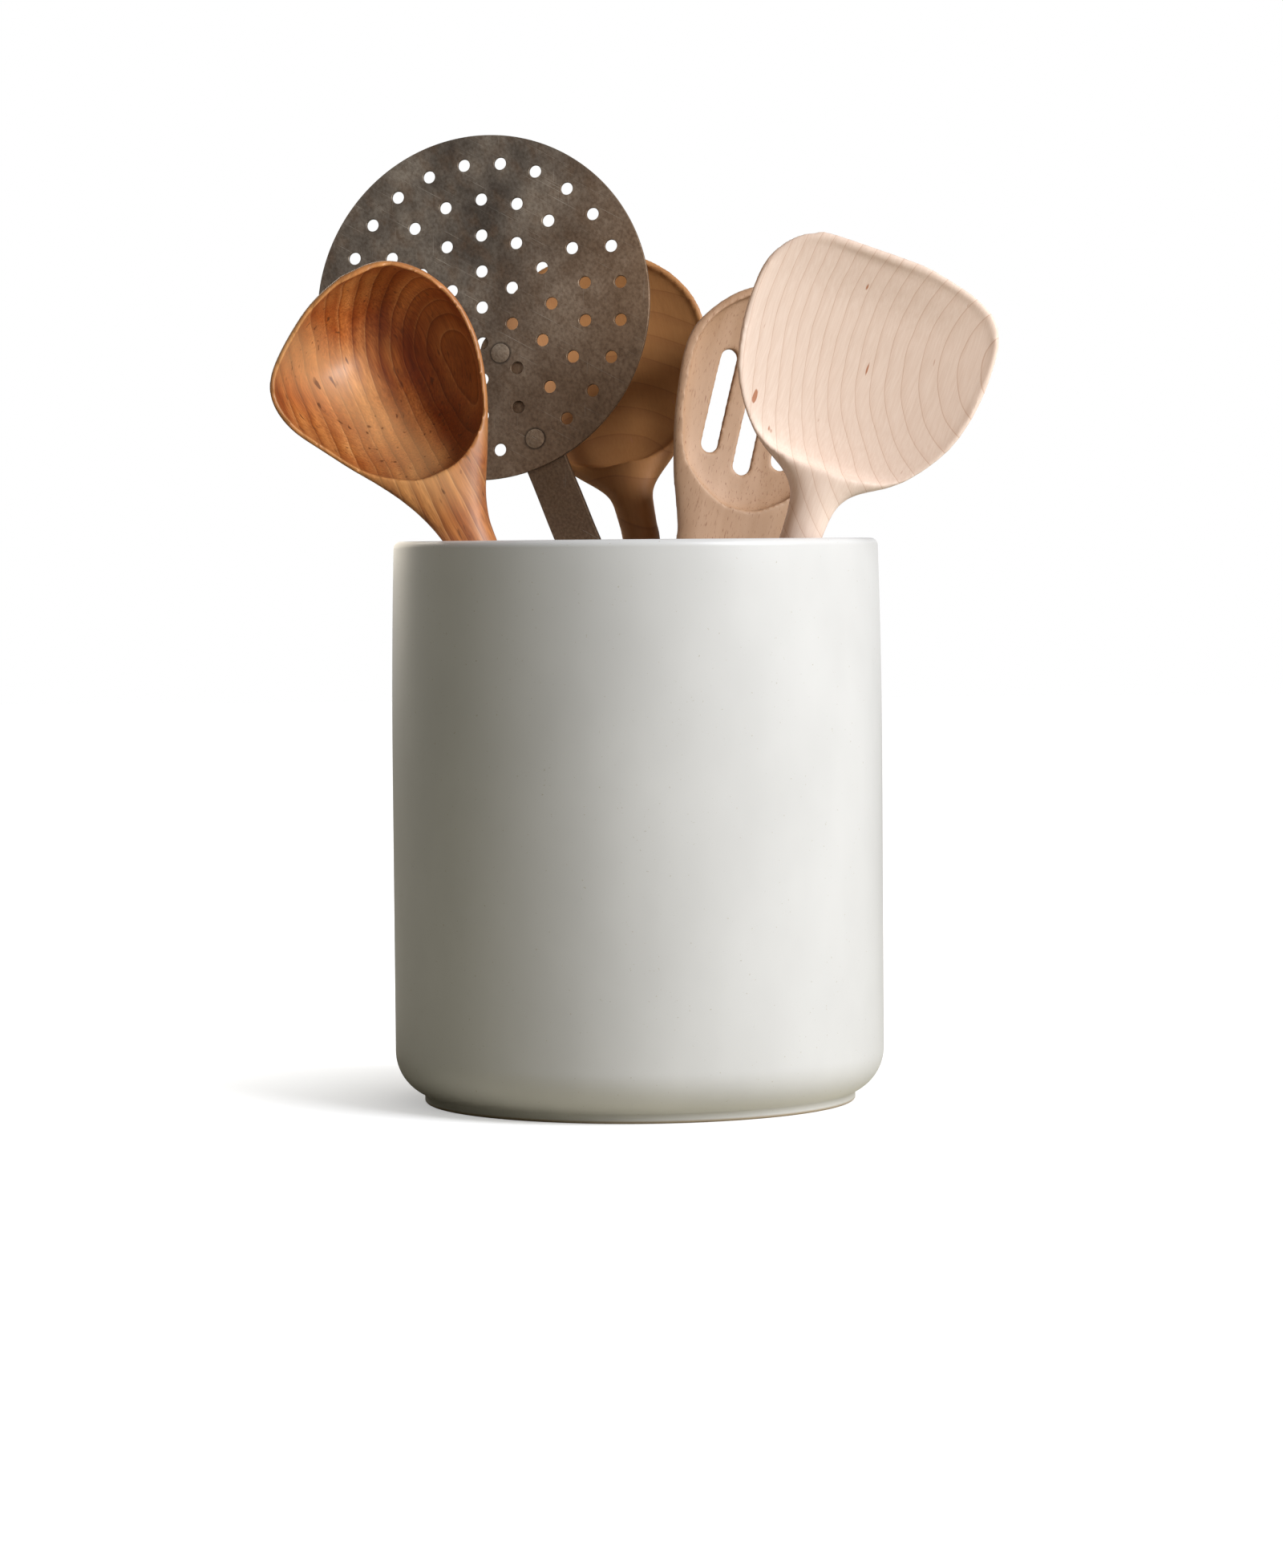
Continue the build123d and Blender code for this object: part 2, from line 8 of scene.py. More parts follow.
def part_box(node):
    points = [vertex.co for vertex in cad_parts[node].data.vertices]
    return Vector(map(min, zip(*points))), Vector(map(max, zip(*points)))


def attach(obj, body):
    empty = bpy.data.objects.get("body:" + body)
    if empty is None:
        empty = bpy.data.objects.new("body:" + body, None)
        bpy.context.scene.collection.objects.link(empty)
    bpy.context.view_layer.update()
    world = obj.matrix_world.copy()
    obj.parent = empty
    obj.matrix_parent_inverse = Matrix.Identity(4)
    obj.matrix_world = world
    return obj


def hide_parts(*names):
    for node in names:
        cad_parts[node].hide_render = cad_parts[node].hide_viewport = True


# A glazed stoneware crock that holds a teak ladle, an iron skimmer, a maple scoop,
# a maple spoon and a slotted beech spoon. Sizes in the dictionaries are millimetres,
# apart from the studio's at the end, which are metres.
mm = 0.001
weld = 0.01 * mm  # points nearer to each other than this become one
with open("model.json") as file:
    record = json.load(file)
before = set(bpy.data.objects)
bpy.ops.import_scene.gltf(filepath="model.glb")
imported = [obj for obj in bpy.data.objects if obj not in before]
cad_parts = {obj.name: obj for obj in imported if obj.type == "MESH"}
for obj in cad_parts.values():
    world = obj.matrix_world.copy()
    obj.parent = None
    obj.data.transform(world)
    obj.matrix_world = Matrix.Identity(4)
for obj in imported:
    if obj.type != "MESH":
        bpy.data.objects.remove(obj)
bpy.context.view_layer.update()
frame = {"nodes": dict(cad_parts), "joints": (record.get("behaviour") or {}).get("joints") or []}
axes = {joint["child"]: Vector(joint["axis"]) for joint in frame["joints"]}
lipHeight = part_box("crock")[1].z / mm
print("frame loaded:", len(frame["nodes"]), "nodes, lip at", round(lipHeight, 1), "mm")


# Shared helpers

def hexColor(code):
    # sRGB hex to linear RGBA
    channels = [int(code[i:i + 2], 16) / 255 for i in (1, 3, 5)]
    linear = [c / 12.92 if c <= 0.04045 else ((c + 0.055) / 1.055) ** 2.4 for c in channels]
    return (*linear, 1.0)


def addNode(tree, kind, sockets=None, stops=None, **settings):
    # One node with its settings, its values or links by socket name or number, and a ramp's stops.
    # A Map Range's sockets 1 to 4 are the span that it reads, then the span that it gives.
    node = tree.nodes.new(kind)
    for name, value in settings.items():
        setattr(node, name, value)
    for key, value in (sockets or {}).items():
        if isinstance(value, bpy.types.NodeSocket):
            tree.links.new(value, node.inputs[key])
        else:
            node.inputs[key].default_value = value
    if stops:
        elements = node.color_ramp.elements
        while len(elements) < len(stops):
            elements.new(0.5)
        for element, (position, color) in zip(elements, stops):
            element.position = position
            element.color = hexColor(color)
    return node


def startMaterial(name, **values):
    # A Principled material; values that are the same all over go straight on the shader's sockets
    material = bpy.data.materials.new(name)
    material.use_nodes = True
    shader = material.node_tree.nodes["Principled BSDF"]
    for key, value in values.items():
        shader.inputs[key.replace("_", " ")].default_value = value
    return material, material.node_tree, shader


def endMaterial(tree, shader, color, height, depth, strength):
    # The colour, and a relief whose depth is in millimetres
    tree.links.new(color, shader.inputs["Base Color"])
    relief = addNode(tree, "ShaderNodeBump",
                     {"Strength": strength, "Distance": depth * mm, "Height": height})
    tree.links.new(relief.outputs[0], shader.inputs["Normal"])


def layered(tree, color, coats):
    # Lays coats over a colour in turn, each with its share, its colour and how it is laid on:
    # MIX covers what is under it, MULTIPLY stains it
    for share, coat, way in coats:
        laid = addNode(tree, "ShaderNodeMix", {0: share, 6: color, 7: coat},
                       data_type="RGBA", blend_type=way)
        color = laid.outputs[2]
    return color


def localFrame(piece):
    # Columns: across, back, up the handle, and the foot; metres
    up = axes[piece["body"]]
    across = Vector((0, 1, 0)).cross(up).normalized()
    across = Matrix.Rotation(math.radians(piece["turn"]), 3, up) @ across
    back = up.cross(across)
    turned = Matrix((across, back, up)).transposed().to_4x4()
    return Matrix.Translation(Vector(piece["foot"]) * mm) @ turned


def grainSpace(tree, piece):
    # The piece's own millimetres: x across, y to the back, z up the handle from its foot
    inverse = localFrame(piece).inverted()
    place = addNode(tree, "ShaderNodeTexCoord")
    mapping = addNode(tree, "ShaderNodeMapping", {
        "Vector": place.outputs["Object"],
        "Scale": (1 / mm, 1 / mm, 1 / mm),
        "Rotation": inverse.to_euler("XYZ"),
        "Location": inverse.translation / mm,
    })
    return mapping.outputs["Vector"]


def warped(tree, vector, size, reach):
    # Noise of that size bends the pattern by up to about that reach, both in millimetres
    scaled = addNode(tree, "ShaderNodeVectorMath", {0: vector, "Scale": 1 / size}, operation="SCALE")
    wobble = addNode(tree, "ShaderNodeTexNoise", {"Vector": scaled.outputs[0], "Scale": 1.0, "Detail": 2.0})
    centred = addNode(tree, "ShaderNodeVectorMath",
                      {0: wobble.outputs["Color"], 1: (0.5, 0.5, 0.5)}, operation="SUBTRACT")
    moved = addNode(tree, "ShaderNodeVectorMath",
                    {0: centred.outputs[0], 1: (2 * reach, 2 * reach, 2 * reach), 2: vector},
                    operation="MULTIPLY_ADD")
    return moved.outputs[0]


def streaks(tree, vector, across, along, detail=3.0):
    # Noise drawn out along the grain: its size across and along, in millimetres
    drawn = addNode(tree, "ShaderNodeVectorMath",
                    {0: vector, 1: (1 / across, 1 / across, 1 / along)}, operation="MULTIPLY")
    made = addNode(tree, "ShaderNodeTexNoise",
                   {"Vector": drawn.outputs[0], "Scale": 1.0, "Detail": detail, "Roughness": 0.55})
    return made.outputs["Fac"]


def plainMesh(source):
    # The evaluated result as one mesh of its own, and the source taken away
    graph = bpy.context.evaluated_depsgraph_get()
    mesh = bpy.data.meshes.new_from_object(source.evaluated_get(graph))
    bpy.data.objects.remove(source)
    return mesh


def linkObject(name, data):
    made = bpy.data.objects.new(name, data)
    bpy.context.scene.collection.objects.link(made)
    return made


def addPiece(name, mesh, material, body, node):
    # A finished piece at the origin, with its material, the body it moves with, and the node it stands for,
    # which is hidden
    mesh.name = name
    if material.name not in mesh.materials:
        mesh.materials.clear()
        mesh.materials.append(material)
    piece = linkObject(name, mesh)
    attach(piece, body)
    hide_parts(node)
    print("piece", name, "with", len(mesh.polygons), "faces")


def newTree(name, floats):
    # A geometry tree with a geometry socket, named sizes and a material
    tree = bpy.data.node_groups.new(name, "GeometryNodeTree")
    tree.interface.new_socket("Geometry", in_out="INPUT", socket_type="NodeSocketGeometry")
    for label in floats:
        tree.interface.new_socket(label, in_out="INPUT", socket_type="NodeSocketFloat")
    tree.interface.new_socket("Material", in_out="INPUT", socket_type="NodeSocketMaterial")
    tree.interface.new_socket("Geometry", in_out="OUTPUT", socket_type="NodeSocketGeometry")
    return tree


def endTree(tree, given, made):
    # Every tree ends the same way: instances made real, and the material set
    real = addNode(tree, "GeometryNodeRealizeInstances", {0: made})
    coated = addNode(tree, "GeometryNodeSetMaterial",
                     {"Geometry": real.outputs[0], "Material": given.outputs["Material"]})
    addNode(tree, "NodeGroupOutput", {0: coated.outputs[0]})


def runTree(source, tree, values):
    # Each input is set by its identifier before the object is first evaluated
    modifier = source.modifiers.new(tree.name, "NODES")
    modifier.node_group = tree
    for item in tree.interface.items_tree:
        if item.in_out == "INPUT" and item.name in values:
            modifier[item.identifier] = values[item.name]
    return plainMesh(source)


def arcPoints(centreX, centreZ, radius, start, sweep, steps):
    # Points along an arc, angles in degrees from +X
    turns = [math.radians(start + sweep * step / steps) for step in range(steps + 1)]
    return [(centreX + radius * math.cos(t), centreZ + radius * math.sin(t)) for t in turns]


def edgeChain(name, points):
    # A profile as a chain of edges: x is the distance from the lathe's axis, z the height
    mesh = bpy.data.meshes.new(name)
    edges = [(i, i + 1) for i in range(len(points) - 1)]
    mesh.from_pydata([(x * mm, 0, z * mm) for x, z in points], edges, [])
    return linkObject(name, mesh)


def cleanShell(mesh, matrix=None):
    # Doubles merged, slivers taken out, normals made to point outwards, smooth shading
    shell = bmesh.new()
    shell.from_mesh(mesh)
    bmesh.ops.remove_doubles(shell, verts=shell.verts, dist=weld)
    bmesh.ops.dissolve_degenerate(shell, edges=shell.edges, dist=weld / 10)
    bmesh.ops.recalc_face_normals(shell, faces=shell.faces)
    if matrix is not None:
        bmesh.ops.transform(shell, matrix=matrix, verts=shell.verts)
    for face in shell.faces:
        face.smooth = True
    shell.to_mesh(mesh)
    shell.free()
    return mesh


# Geometry trees

def latheTree():
    # Turns the profile it is given about Z: a grid whose columns take the profile's points
    tree = newTree("turnedOnLathe", ["Sides"])
    given = addNode(tree, "NodeGroupInput")
    size = addNode(tree, "GeometryNodeAttributeDomainSize", {0: given.outputs["Geometry"]})
    columns = addNode(tree, "ShaderNodeMath", {0: given.outputs["Sides"], 1: 1.0}, operation="ADD")
    grid = addNode(tree, "GeometryNodeMeshGrid", {
        "Size X": 1.0, "Size Y": 1.0,
        "Vertices X": columns.outputs[0], "Vertices Y": size.outputs["Point Count"],
    })
    place = addNode(tree, "GeometryNodeInputPosition")
    split = addNode(tree, "ShaderNodeSeparateXYZ", {0: place.outputs[0]})
    last = addNode(tree, "ShaderNodeMath", {0: size.outputs["Point Count"], 1: 1.0}, operation="SUBTRACT")
    share = addNode(tree, "ShaderNodeMath", {0: split.outputs["Y"], 1: 0.5}, operation="ADD")
    row = addNode(tree, "ShaderNodeMath", {0: share.outputs[0], 1: last.outputs[0]}, operation="MULTIPLY")
    whole = addNode(tree, "ShaderNodeMath", {0: row.outputs[0]}, operation="ROUND")
    point = addNode(tree, "GeometryNodeSampleIndex", {
        0: given.outputs["Geometry"], "Value": place.outputs[0], "Index": whole.outputs[0],
    }, data_type="FLOAT_VECTOR")
    sweep = addNode(tree, "ShaderNodeMath", {0: split.outputs["X"], 1: 2 * math.pi}, operation="MULTIPLY")
    turned = addNode(tree, "ShaderNodeVectorRotate",
                     {"Vector": point.outputs[0], "Axis": (0, 0, 1), "Angle": sweep.outputs[0]})
    moved = addNode(tree, "GeometryNodeSetPosition", {0: grid.outputs[0], "Position": turned.outputs[0]})
    merged = addNode(tree, "GeometryNodeMergeByDistance", {0: moved.outputs[0], "Distance": weld})
    endTree(tree, given, merged.outputs[0])
    return tree


def perforatedTree(size):
    # A round plate with rings of holes round its centre and two rivet holes, in the XY plane
    tree = newTree("perforatedPlate", ["Radius", "Thickness", "Hole radius", "Ring pitch", "Inner turn",
                                       "Outer turn", "Shank radius", "Lower rivet", "Upper rivet", "Clear"])
    given = addNode(tree, "NodeGroupInput")
    spots = addNode(tree, "GeometryNodeJoinGeometry")
    middle = addNode(tree, "GeometryNodeMeshLine", {"Count": 1})
    tree.links.new(middle.outputs[0], spots.inputs[0])
    for ring in range(1, size["ringCount"] + 1):
        reach = addNode(tree, "ShaderNodeMath", {0: given.outputs["Ring pitch"], 1: ring},
                        operation="MULTIPLY")
        circle = addNode(tree, "GeometryNodeMeshCircle",
                         {"Vertices": size["firstRingHoles"] * ring, "Radius": reach.outputs[0]})
        turn = given.outputs["Outer turn" if ring == size["ringCount"] else "Inner turn"]
        facing = addNode(tree, "ShaderNodeCombineXYZ", {"Z": turn})
        turned = addNode(tree, "GeometryNodeTransform",
                         {0: circle.outputs[0], "Rotation": facing.outputs[0]})
        tree.links.new(turned.outputs[0], spots.inputs[0])
    place = addNode(tree, "GeometryNodeInputPosition")
    lower = addNode(tree, "ShaderNodeCombineXYZ", {"Y": given.outputs["Lower rivet"]})
    upper = addNode(tree, "ShaderNodeCombineXYZ", {"Y": given.outputs["Upper rivet"]})
    away = addNode(tree, "ShaderNodeVectorMath", {0: place.outputs[0], 1: lower.outputs[0]},
                   operation="DISTANCE")
    taken = addNode(tree, "FunctionNodeCompare", {0: away.outputs["Value"], 1: given.outputs["Clear"]},
                    operation="LESS_THAN")
    free = addNode(tree, "GeometryNodeDeleteGeometry", {0: spots.outputs[0], 1: taken.outputs[0]})
    hole = addNode(tree, "GeometryNodeCurvePrimitiveCircle",
                   {"Resolution": size["holeSides"], "Radius": given.outputs["Hole radius"]})
    holes = addNode(tree, "GeometryNodeInstanceOnPoints", {0: free.outputs[0], "Instance": hole.outputs[0]})
    rim = addNode(tree, "GeometryNodeCurvePrimitiveCircle",
                  {"Resolution": size["discSides"], "Radius": given.outputs["Radius"]})
    outlines = addNode(tree, "GeometryNodeJoinGeometry")
    tree.links.new(rim.outputs[0], outlines.inputs[0])
    tree.links.new(holes.outputs[0], outlines.inputs[0])
    for spot in (lower, upper):
        shank = addNode(tree, "GeometryNodeCurvePrimitiveCircle",
                        {"Resolution": size["holeSides"], "Radius": given.outputs["Shank radius"]})
        moved = addNode(tree, "GeometryNodeTransform",
                        {0: shank.outputs[0], "Translation": spot.outputs[0]})
        tree.links.new(moved.outputs[0], outlines.inputs[0])
    real = addNode(tree, "GeometryNodeRealizeInstances", {0: outlines.outputs[0]})
    plate = addNode(tree, "GeometryNodeFillCurve", {0: real.outputs[0]}, mode="TRIANGLES")
    raised = addNode(tree, "GeometryNodeExtrudeMesh", {
        0: plate.outputs[0], "Offset": (0, 0, 1), "Offset Scale": given.outputs["Thickness"],
        "Individual": False,
    })
    back = addNode(tree, "GeometryNodeFlipFaces", {0: plate.outputs[0]})
    both = addNode(tree, "GeometryNodeJoinGeometry")
    tree.links.new(raised.outputs[0], both.inputs[0])
    tree.links.new(back.outputs[0], both.inputs[0])
    merged = addNode(tree, "GeometryNodeMergeByDistance", {0: both.outputs[0], "Distance": weld / 2})
    endTree(tree, given, merged.outputs[0])
    return tree


def rivetTree(lathe):
    # One turned rivet set on two points up the Y axis
    tree = newTree("rivetPair", ["Sides", "Lower rivet", "Upper rivet"])
    given = addNode(tree, "NodeGroupInput")
    passedOn = {name: given.outputs[name] for name in ("Geometry", "Sides", "Material")}
    turned = addNode(tree, "GeometryNodeGroup", passedOn, node_tree=lathe)
    lower = addNode(tree, "ShaderNodeCombineXYZ", {"Y": given.outputs["Lower rivet"]})
    upper = addNode(tree, "ShaderNodeCombineXYZ", {"Y": given.outputs["Upper rivet"]})
    spots = addNode(tree, "GeometryNodeMeshLine",
                    {"Count": 2, "Start Location": lower.outputs[0], "Offset": upper.outputs[0]},
                    mode="END_POINTS")
    pair = addNode(tree, "GeometryNodeInstanceOnPoints",
                   {0: spots.outputs[0], "Instance": turned.outputs[0]})
    endTree(tree, given, pair.outputs[0])
    return tree


# Crock

crock = {
    "radius": 76.0, "lipDrawIn": 1.0, "wall": 6.0, "straightHeight": 105.0,
    "lipOuterRound": 2.2, "lipInnerRound": 2.8, "shoulderRound": 14.3, "floorRound": 10.0,
    "floorThickness": 5.0, "footRadius": 67.0, "footHeight": 2.8, "footRing": 7.0,
    "footEdgeRound": 0.8, "footRecess": 3.0, "recessRound": 1.5,
    "sides": 240, "roundSteps": 8, "shoulderSteps": 16, "footSteps": 5, "recessSteps": 6, "wallParts": 4,
}
glaze = {
    "roughness": 0.34, "ior": 1.5, "shades": ("#dcdbd8", "#e5e4e1"), "cloud": (38, 60),
    "speck": "#cdc9be", "speckSize": 0.9, "bareClay": "#b9a78d", "bareBelow": 0.5, "glazedAbove": 1.1,
    "skinSize": 2.4, "skinDepth": 0.04,
}


def crockProfile(size, height):
    # From the middle of the recess under the pot, out and up the wall, over the lip and down inside
    ringInner = size["footRadius"] - size["footRing"]
    edge = size["footEdgeRound"]
    recess = size["footRecess"]
    recessRound = size["recessRound"]
    shoulder = size["shoulderRound"]
    shoulderX = size["radius"] - shoulder
    shoulderZ = size["footHeight"] + math.sqrt(shoulder**2 - (size["footRadius"] - shoulderX)**2)
    shoulderTurn = math.degrees(math.asin((shoulderZ - size["footHeight"]) / shoulder))
    straight = size["straightHeight"]
    wallRise = straight - shoulderZ
    lipStart = height - size["lipOuterRound"]
    rise = lipStart - straight
    drawRadius = (rise**2 + size["lipDrawIn"]**2) / (2 * size["lipDrawIn"])
    drawTurn = math.degrees(math.asin(rise / drawRadius))
    outer = size["radius"] - size["lipDrawIn"] - size["lipOuterRound"]
    bore = size["radius"] - size["lipDrawIn"] - size["wall"]
    inner = bore + size["lipInnerRound"]
    floorTop = recess + size["floorThickness"]
    floorRound = size["floorRound"]
    steps = size["roundSteps"]
    parts = size["wallParts"]
    points = [(0, recess), (ringInner / 2, recess)]
    points += arcPoints(ringInner - recessRound, recess - recessRound, recessRound, 90, -90,
                        size["recessSteps"])
    points += arcPoints(ringInner + edge, edge, edge, 180, 90, size["footSteps"])
    points += arcPoints(size["footRadius"] - edge, edge, edge, -90, 90, size["footSteps"])
    points += arcPoints(shoulderX, shoulderZ, shoulder, -shoulderTurn, shoulderTurn, size["shoulderSteps"])
    points += [(size["radius"], shoulderZ + wallRise * part / parts) for part in range(1, parts)]
    points += arcPoints(size["radius"] - drawRadius, straight, drawRadius, 0, drawTurn, steps)
    points += arcPoints(outer, lipStart, size["lipOuterRound"], 0, 90, steps)[1:]
    points += arcPoints(inner, height - size["lipInnerRound"], size["lipInnerRound"], 90, 90, steps)
    points += [(bore, height * part / parts) for part in range(parts - 1, 0, -1)]
    points += arcPoints(bore - floorRound, floorTop + floorRound, floorRound, 0, -90, steps)
    points += [(bore / 2, floorTop), (0, floorTop)]
    return points


def stonewareMaterial(finish):
    # Stoneware under a satin glaze: an even off-white with a soft, broad sheen, and the
    # foot ring wiped bare before firing, where the dry warm clay shows
    material, tree, shader = startMaterial("satinGlazedStoneware",
                                           Roughness=finish["roughness"], IOR=finish["ior"])
    place = addNode(tree, "ShaderNodeTexCoord")
    inMm = addNode(tree, "ShaderNodeMapping",
                   {"Vector": place.outputs["Object"], "Scale": (1 / mm, 1 / mm, 1 / mm)})
    cloud = streaks(tree, inMm.outputs[0], *finish["cloud"])
    tone = addNode(tree, "ShaderNodeValToRGB", {0: cloud}, stops=list(zip((0.3, 0.7), finish["shades"])))
    specks = streaks(tree, inMm.outputs[0], finish["speckSize"], finish["speckSize"], 1.0)
    speck = addNode(tree, "ShaderNodeValToRGB", {0: specks}, stops=[(0.74, "#000000"), (0.8, "#ffffff")])
    height = addNode(tree, "ShaderNodeSeparateXYZ", {0: inMm.outputs[0]})
    bare = addNode(tree, "ShaderNodeMapRange", {
        0: height.outputs["Z"], 1: finish["bareBelow"], 2: finish["glazedAbove"], 3: 1.0, 4: 0.0,
    })
    color = layered(tree, tone.outputs[0], [
        (speck.outputs[0], hexColor(finish["speck"]), "MIX"),
        (bare.outputs[0], hexColor(finish["bareClay"]), "MIX"),
    ])
    skin = streaks(tree, inMm.outputs[0], finish["skinSize"], finish["skinSize"], 2.0)
    endMaterial(tree, shader, color, skin, finish["skinDepth"], strength=0.25)
    return material


lathe = latheTree()
stoneware = stonewareMaterial(glaze)
crockBlank = edgeChain("crockProfile", crockProfile(crock, lipHeight))
crockMesh = runTree(crockBlank, lathe, {"Sides": crock["sides"], "Material": stoneware})
addPiece("crockPot", cleanShell(crockMesh), stoneware, "crock", "crock")


# Wooden utensils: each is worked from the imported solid, with its edges eased as by sanding.
# The foot is the lower end of the handle's axis, and the turn is in degrees about that axis.

ladle = {"body": "ladle", "foot": (25.6206, -22.0733, 8.8984), "turn": 0.0, "voxel": 0.62, "easing": 5}
scoop = {"body": "scoop", "foot": (-9.0833, -42.0182, 8.6611), "turn": 0.0, "voxel": 0.62, "easing": 34}
spoon = {"body": "wide_spoon", "foot": (37.8934, 32.0953, 8.4974), "turn": 0.0, "voxel": 0.65, "easing": 7}
slotted = {
    "body": "slotted_spoon", "foot": (-11.8883, 28.0821, 8.5078), "turn": 11.0, "voxel": 0.62, "easing": 7,
}


def carvedMesh(piece):
    # A voxel skin over a merged copy of the solid, smoothed until its edges are round
    mesh = frame["nodes"][piece["body"]].data.copy()
    cleanCopy = bmesh.new()
    cleanCopy.from_mesh(mesh)
    bmesh.ops.remove_doubles(cleanCopy, verts=cleanCopy.verts, dist=weld)
    cleanCopy.to_mesh(mesh)
    cleanCopy.free()
    blank = linkObject(piece["body"] + "Blank", mesh)
    skin = blank.modifiers.new("skin", "REMESH")
    skin.mode = "VOXEL"
    skin.voxel_size = piece["voxel"] * mm
    skin.use_smooth_shade = True
    ease = blank.modifiers.new("ease", "SMOOTH")
    ease.factor = 0.5
    ease.iterations = piece["easing"]
    carved = plainMesh(blank)
    for polygon in carved.polygons:
        polygon.use_smooth = True
    return carved


# Finishes. A pattern's pair is its size across and along the grain, and a bend's pair is the
# size and the reach of its waves. A place is across, behind and above the handle's foot.

teak = {
    "roughness": 0.47, "ior": 1.5, "bend": (24, 1.5),
    "ringFocus": (23.0, 30.0, 234.0), "ringPitch": 3.7, "ringRise": 0.8, "ringDepth": 0.32,
    "archEase": 14.0,
    "ring": [
        (0.0, "#eab176"), (0.07, "#e39f5e"), (0.4, "#dd9654"), (0.8, "#cb8240"), (0.95, "#ac672d"),
        (1.0, "#eab176"),
    ],
    "darkYear": "#c9ae94", "darkPatch": "#e0bda2", "patch": (16, 34),
    "darkFibre": "#c4b6a8", "fibre": (0.6, 12), "fibreDepth": 0.06,
    # A darker heart round the rings' focus: partly heartwood, partly painted shade on the bowl's right side
    "heartShade": "#6e3c18", "heartShadeEdge": 20.0, "heartShadeCore": 6.0, "heartShadeShare": 0.45,
    # A paler band over the bowl's lower left: partly sapwood, partly painted light where the bowl is lit
    "sapLight": "#e4ba84", "sapLightSlant": 0.45, "sapLightMiddle": -37.0, "sapLightEdge": 14.0, "sapLightCore": 3.0,
    "sapLightShare": 0.36, "sapLightNeck": -44.0, "sapLightHead": -26.0,
    "fleck": "#4a2712", "fleckSize": (1.8, 6),
    "rim": "#c98d52", "rimShare": 0.5, "rimDepth": 0.6, "rimFrom": 202.0, "rimFade": 8.0,
}
maple = {
    "roughness": 0.55, "ior": 1.46, "bend": (26, 1.5), "ringSquash": (1.0, 0.6, 0.8), "ringPower": 1.3,
    "darkFibre": "#f6f2ef", "fibre": (0.5, 9), "fibreDepth": 0.05,
    "fleck": "#b3795a", "fleckSize": (1.6, 9),
}
scoopRings = {
    "centre": (43, 0, 244), "first": 9.0, "pale": "#efdbce", "deep": "#ead4c6", "line": "#d5b7a4",
}
# The spoon's colours are the maple made darker and browner: painted shade, as it stands in the other
# pieces' shadow
spoonRingsInShade = {
    "centre": (-6, 40, 160), "first": 13.0, "pale": "#b8824f", "deep": "#b07a4a", "line": "#a56f42",
}
beech = {
    "roughness": 0.55, "ior": 1.46, "bend": (30, 1.2), "shades": ("#ac896c", "#b9977c"), "band": (5, 60),
    "ray": "#946c52", "raySize": (0.4, 2.4), "rayDepth": 0.05,
}


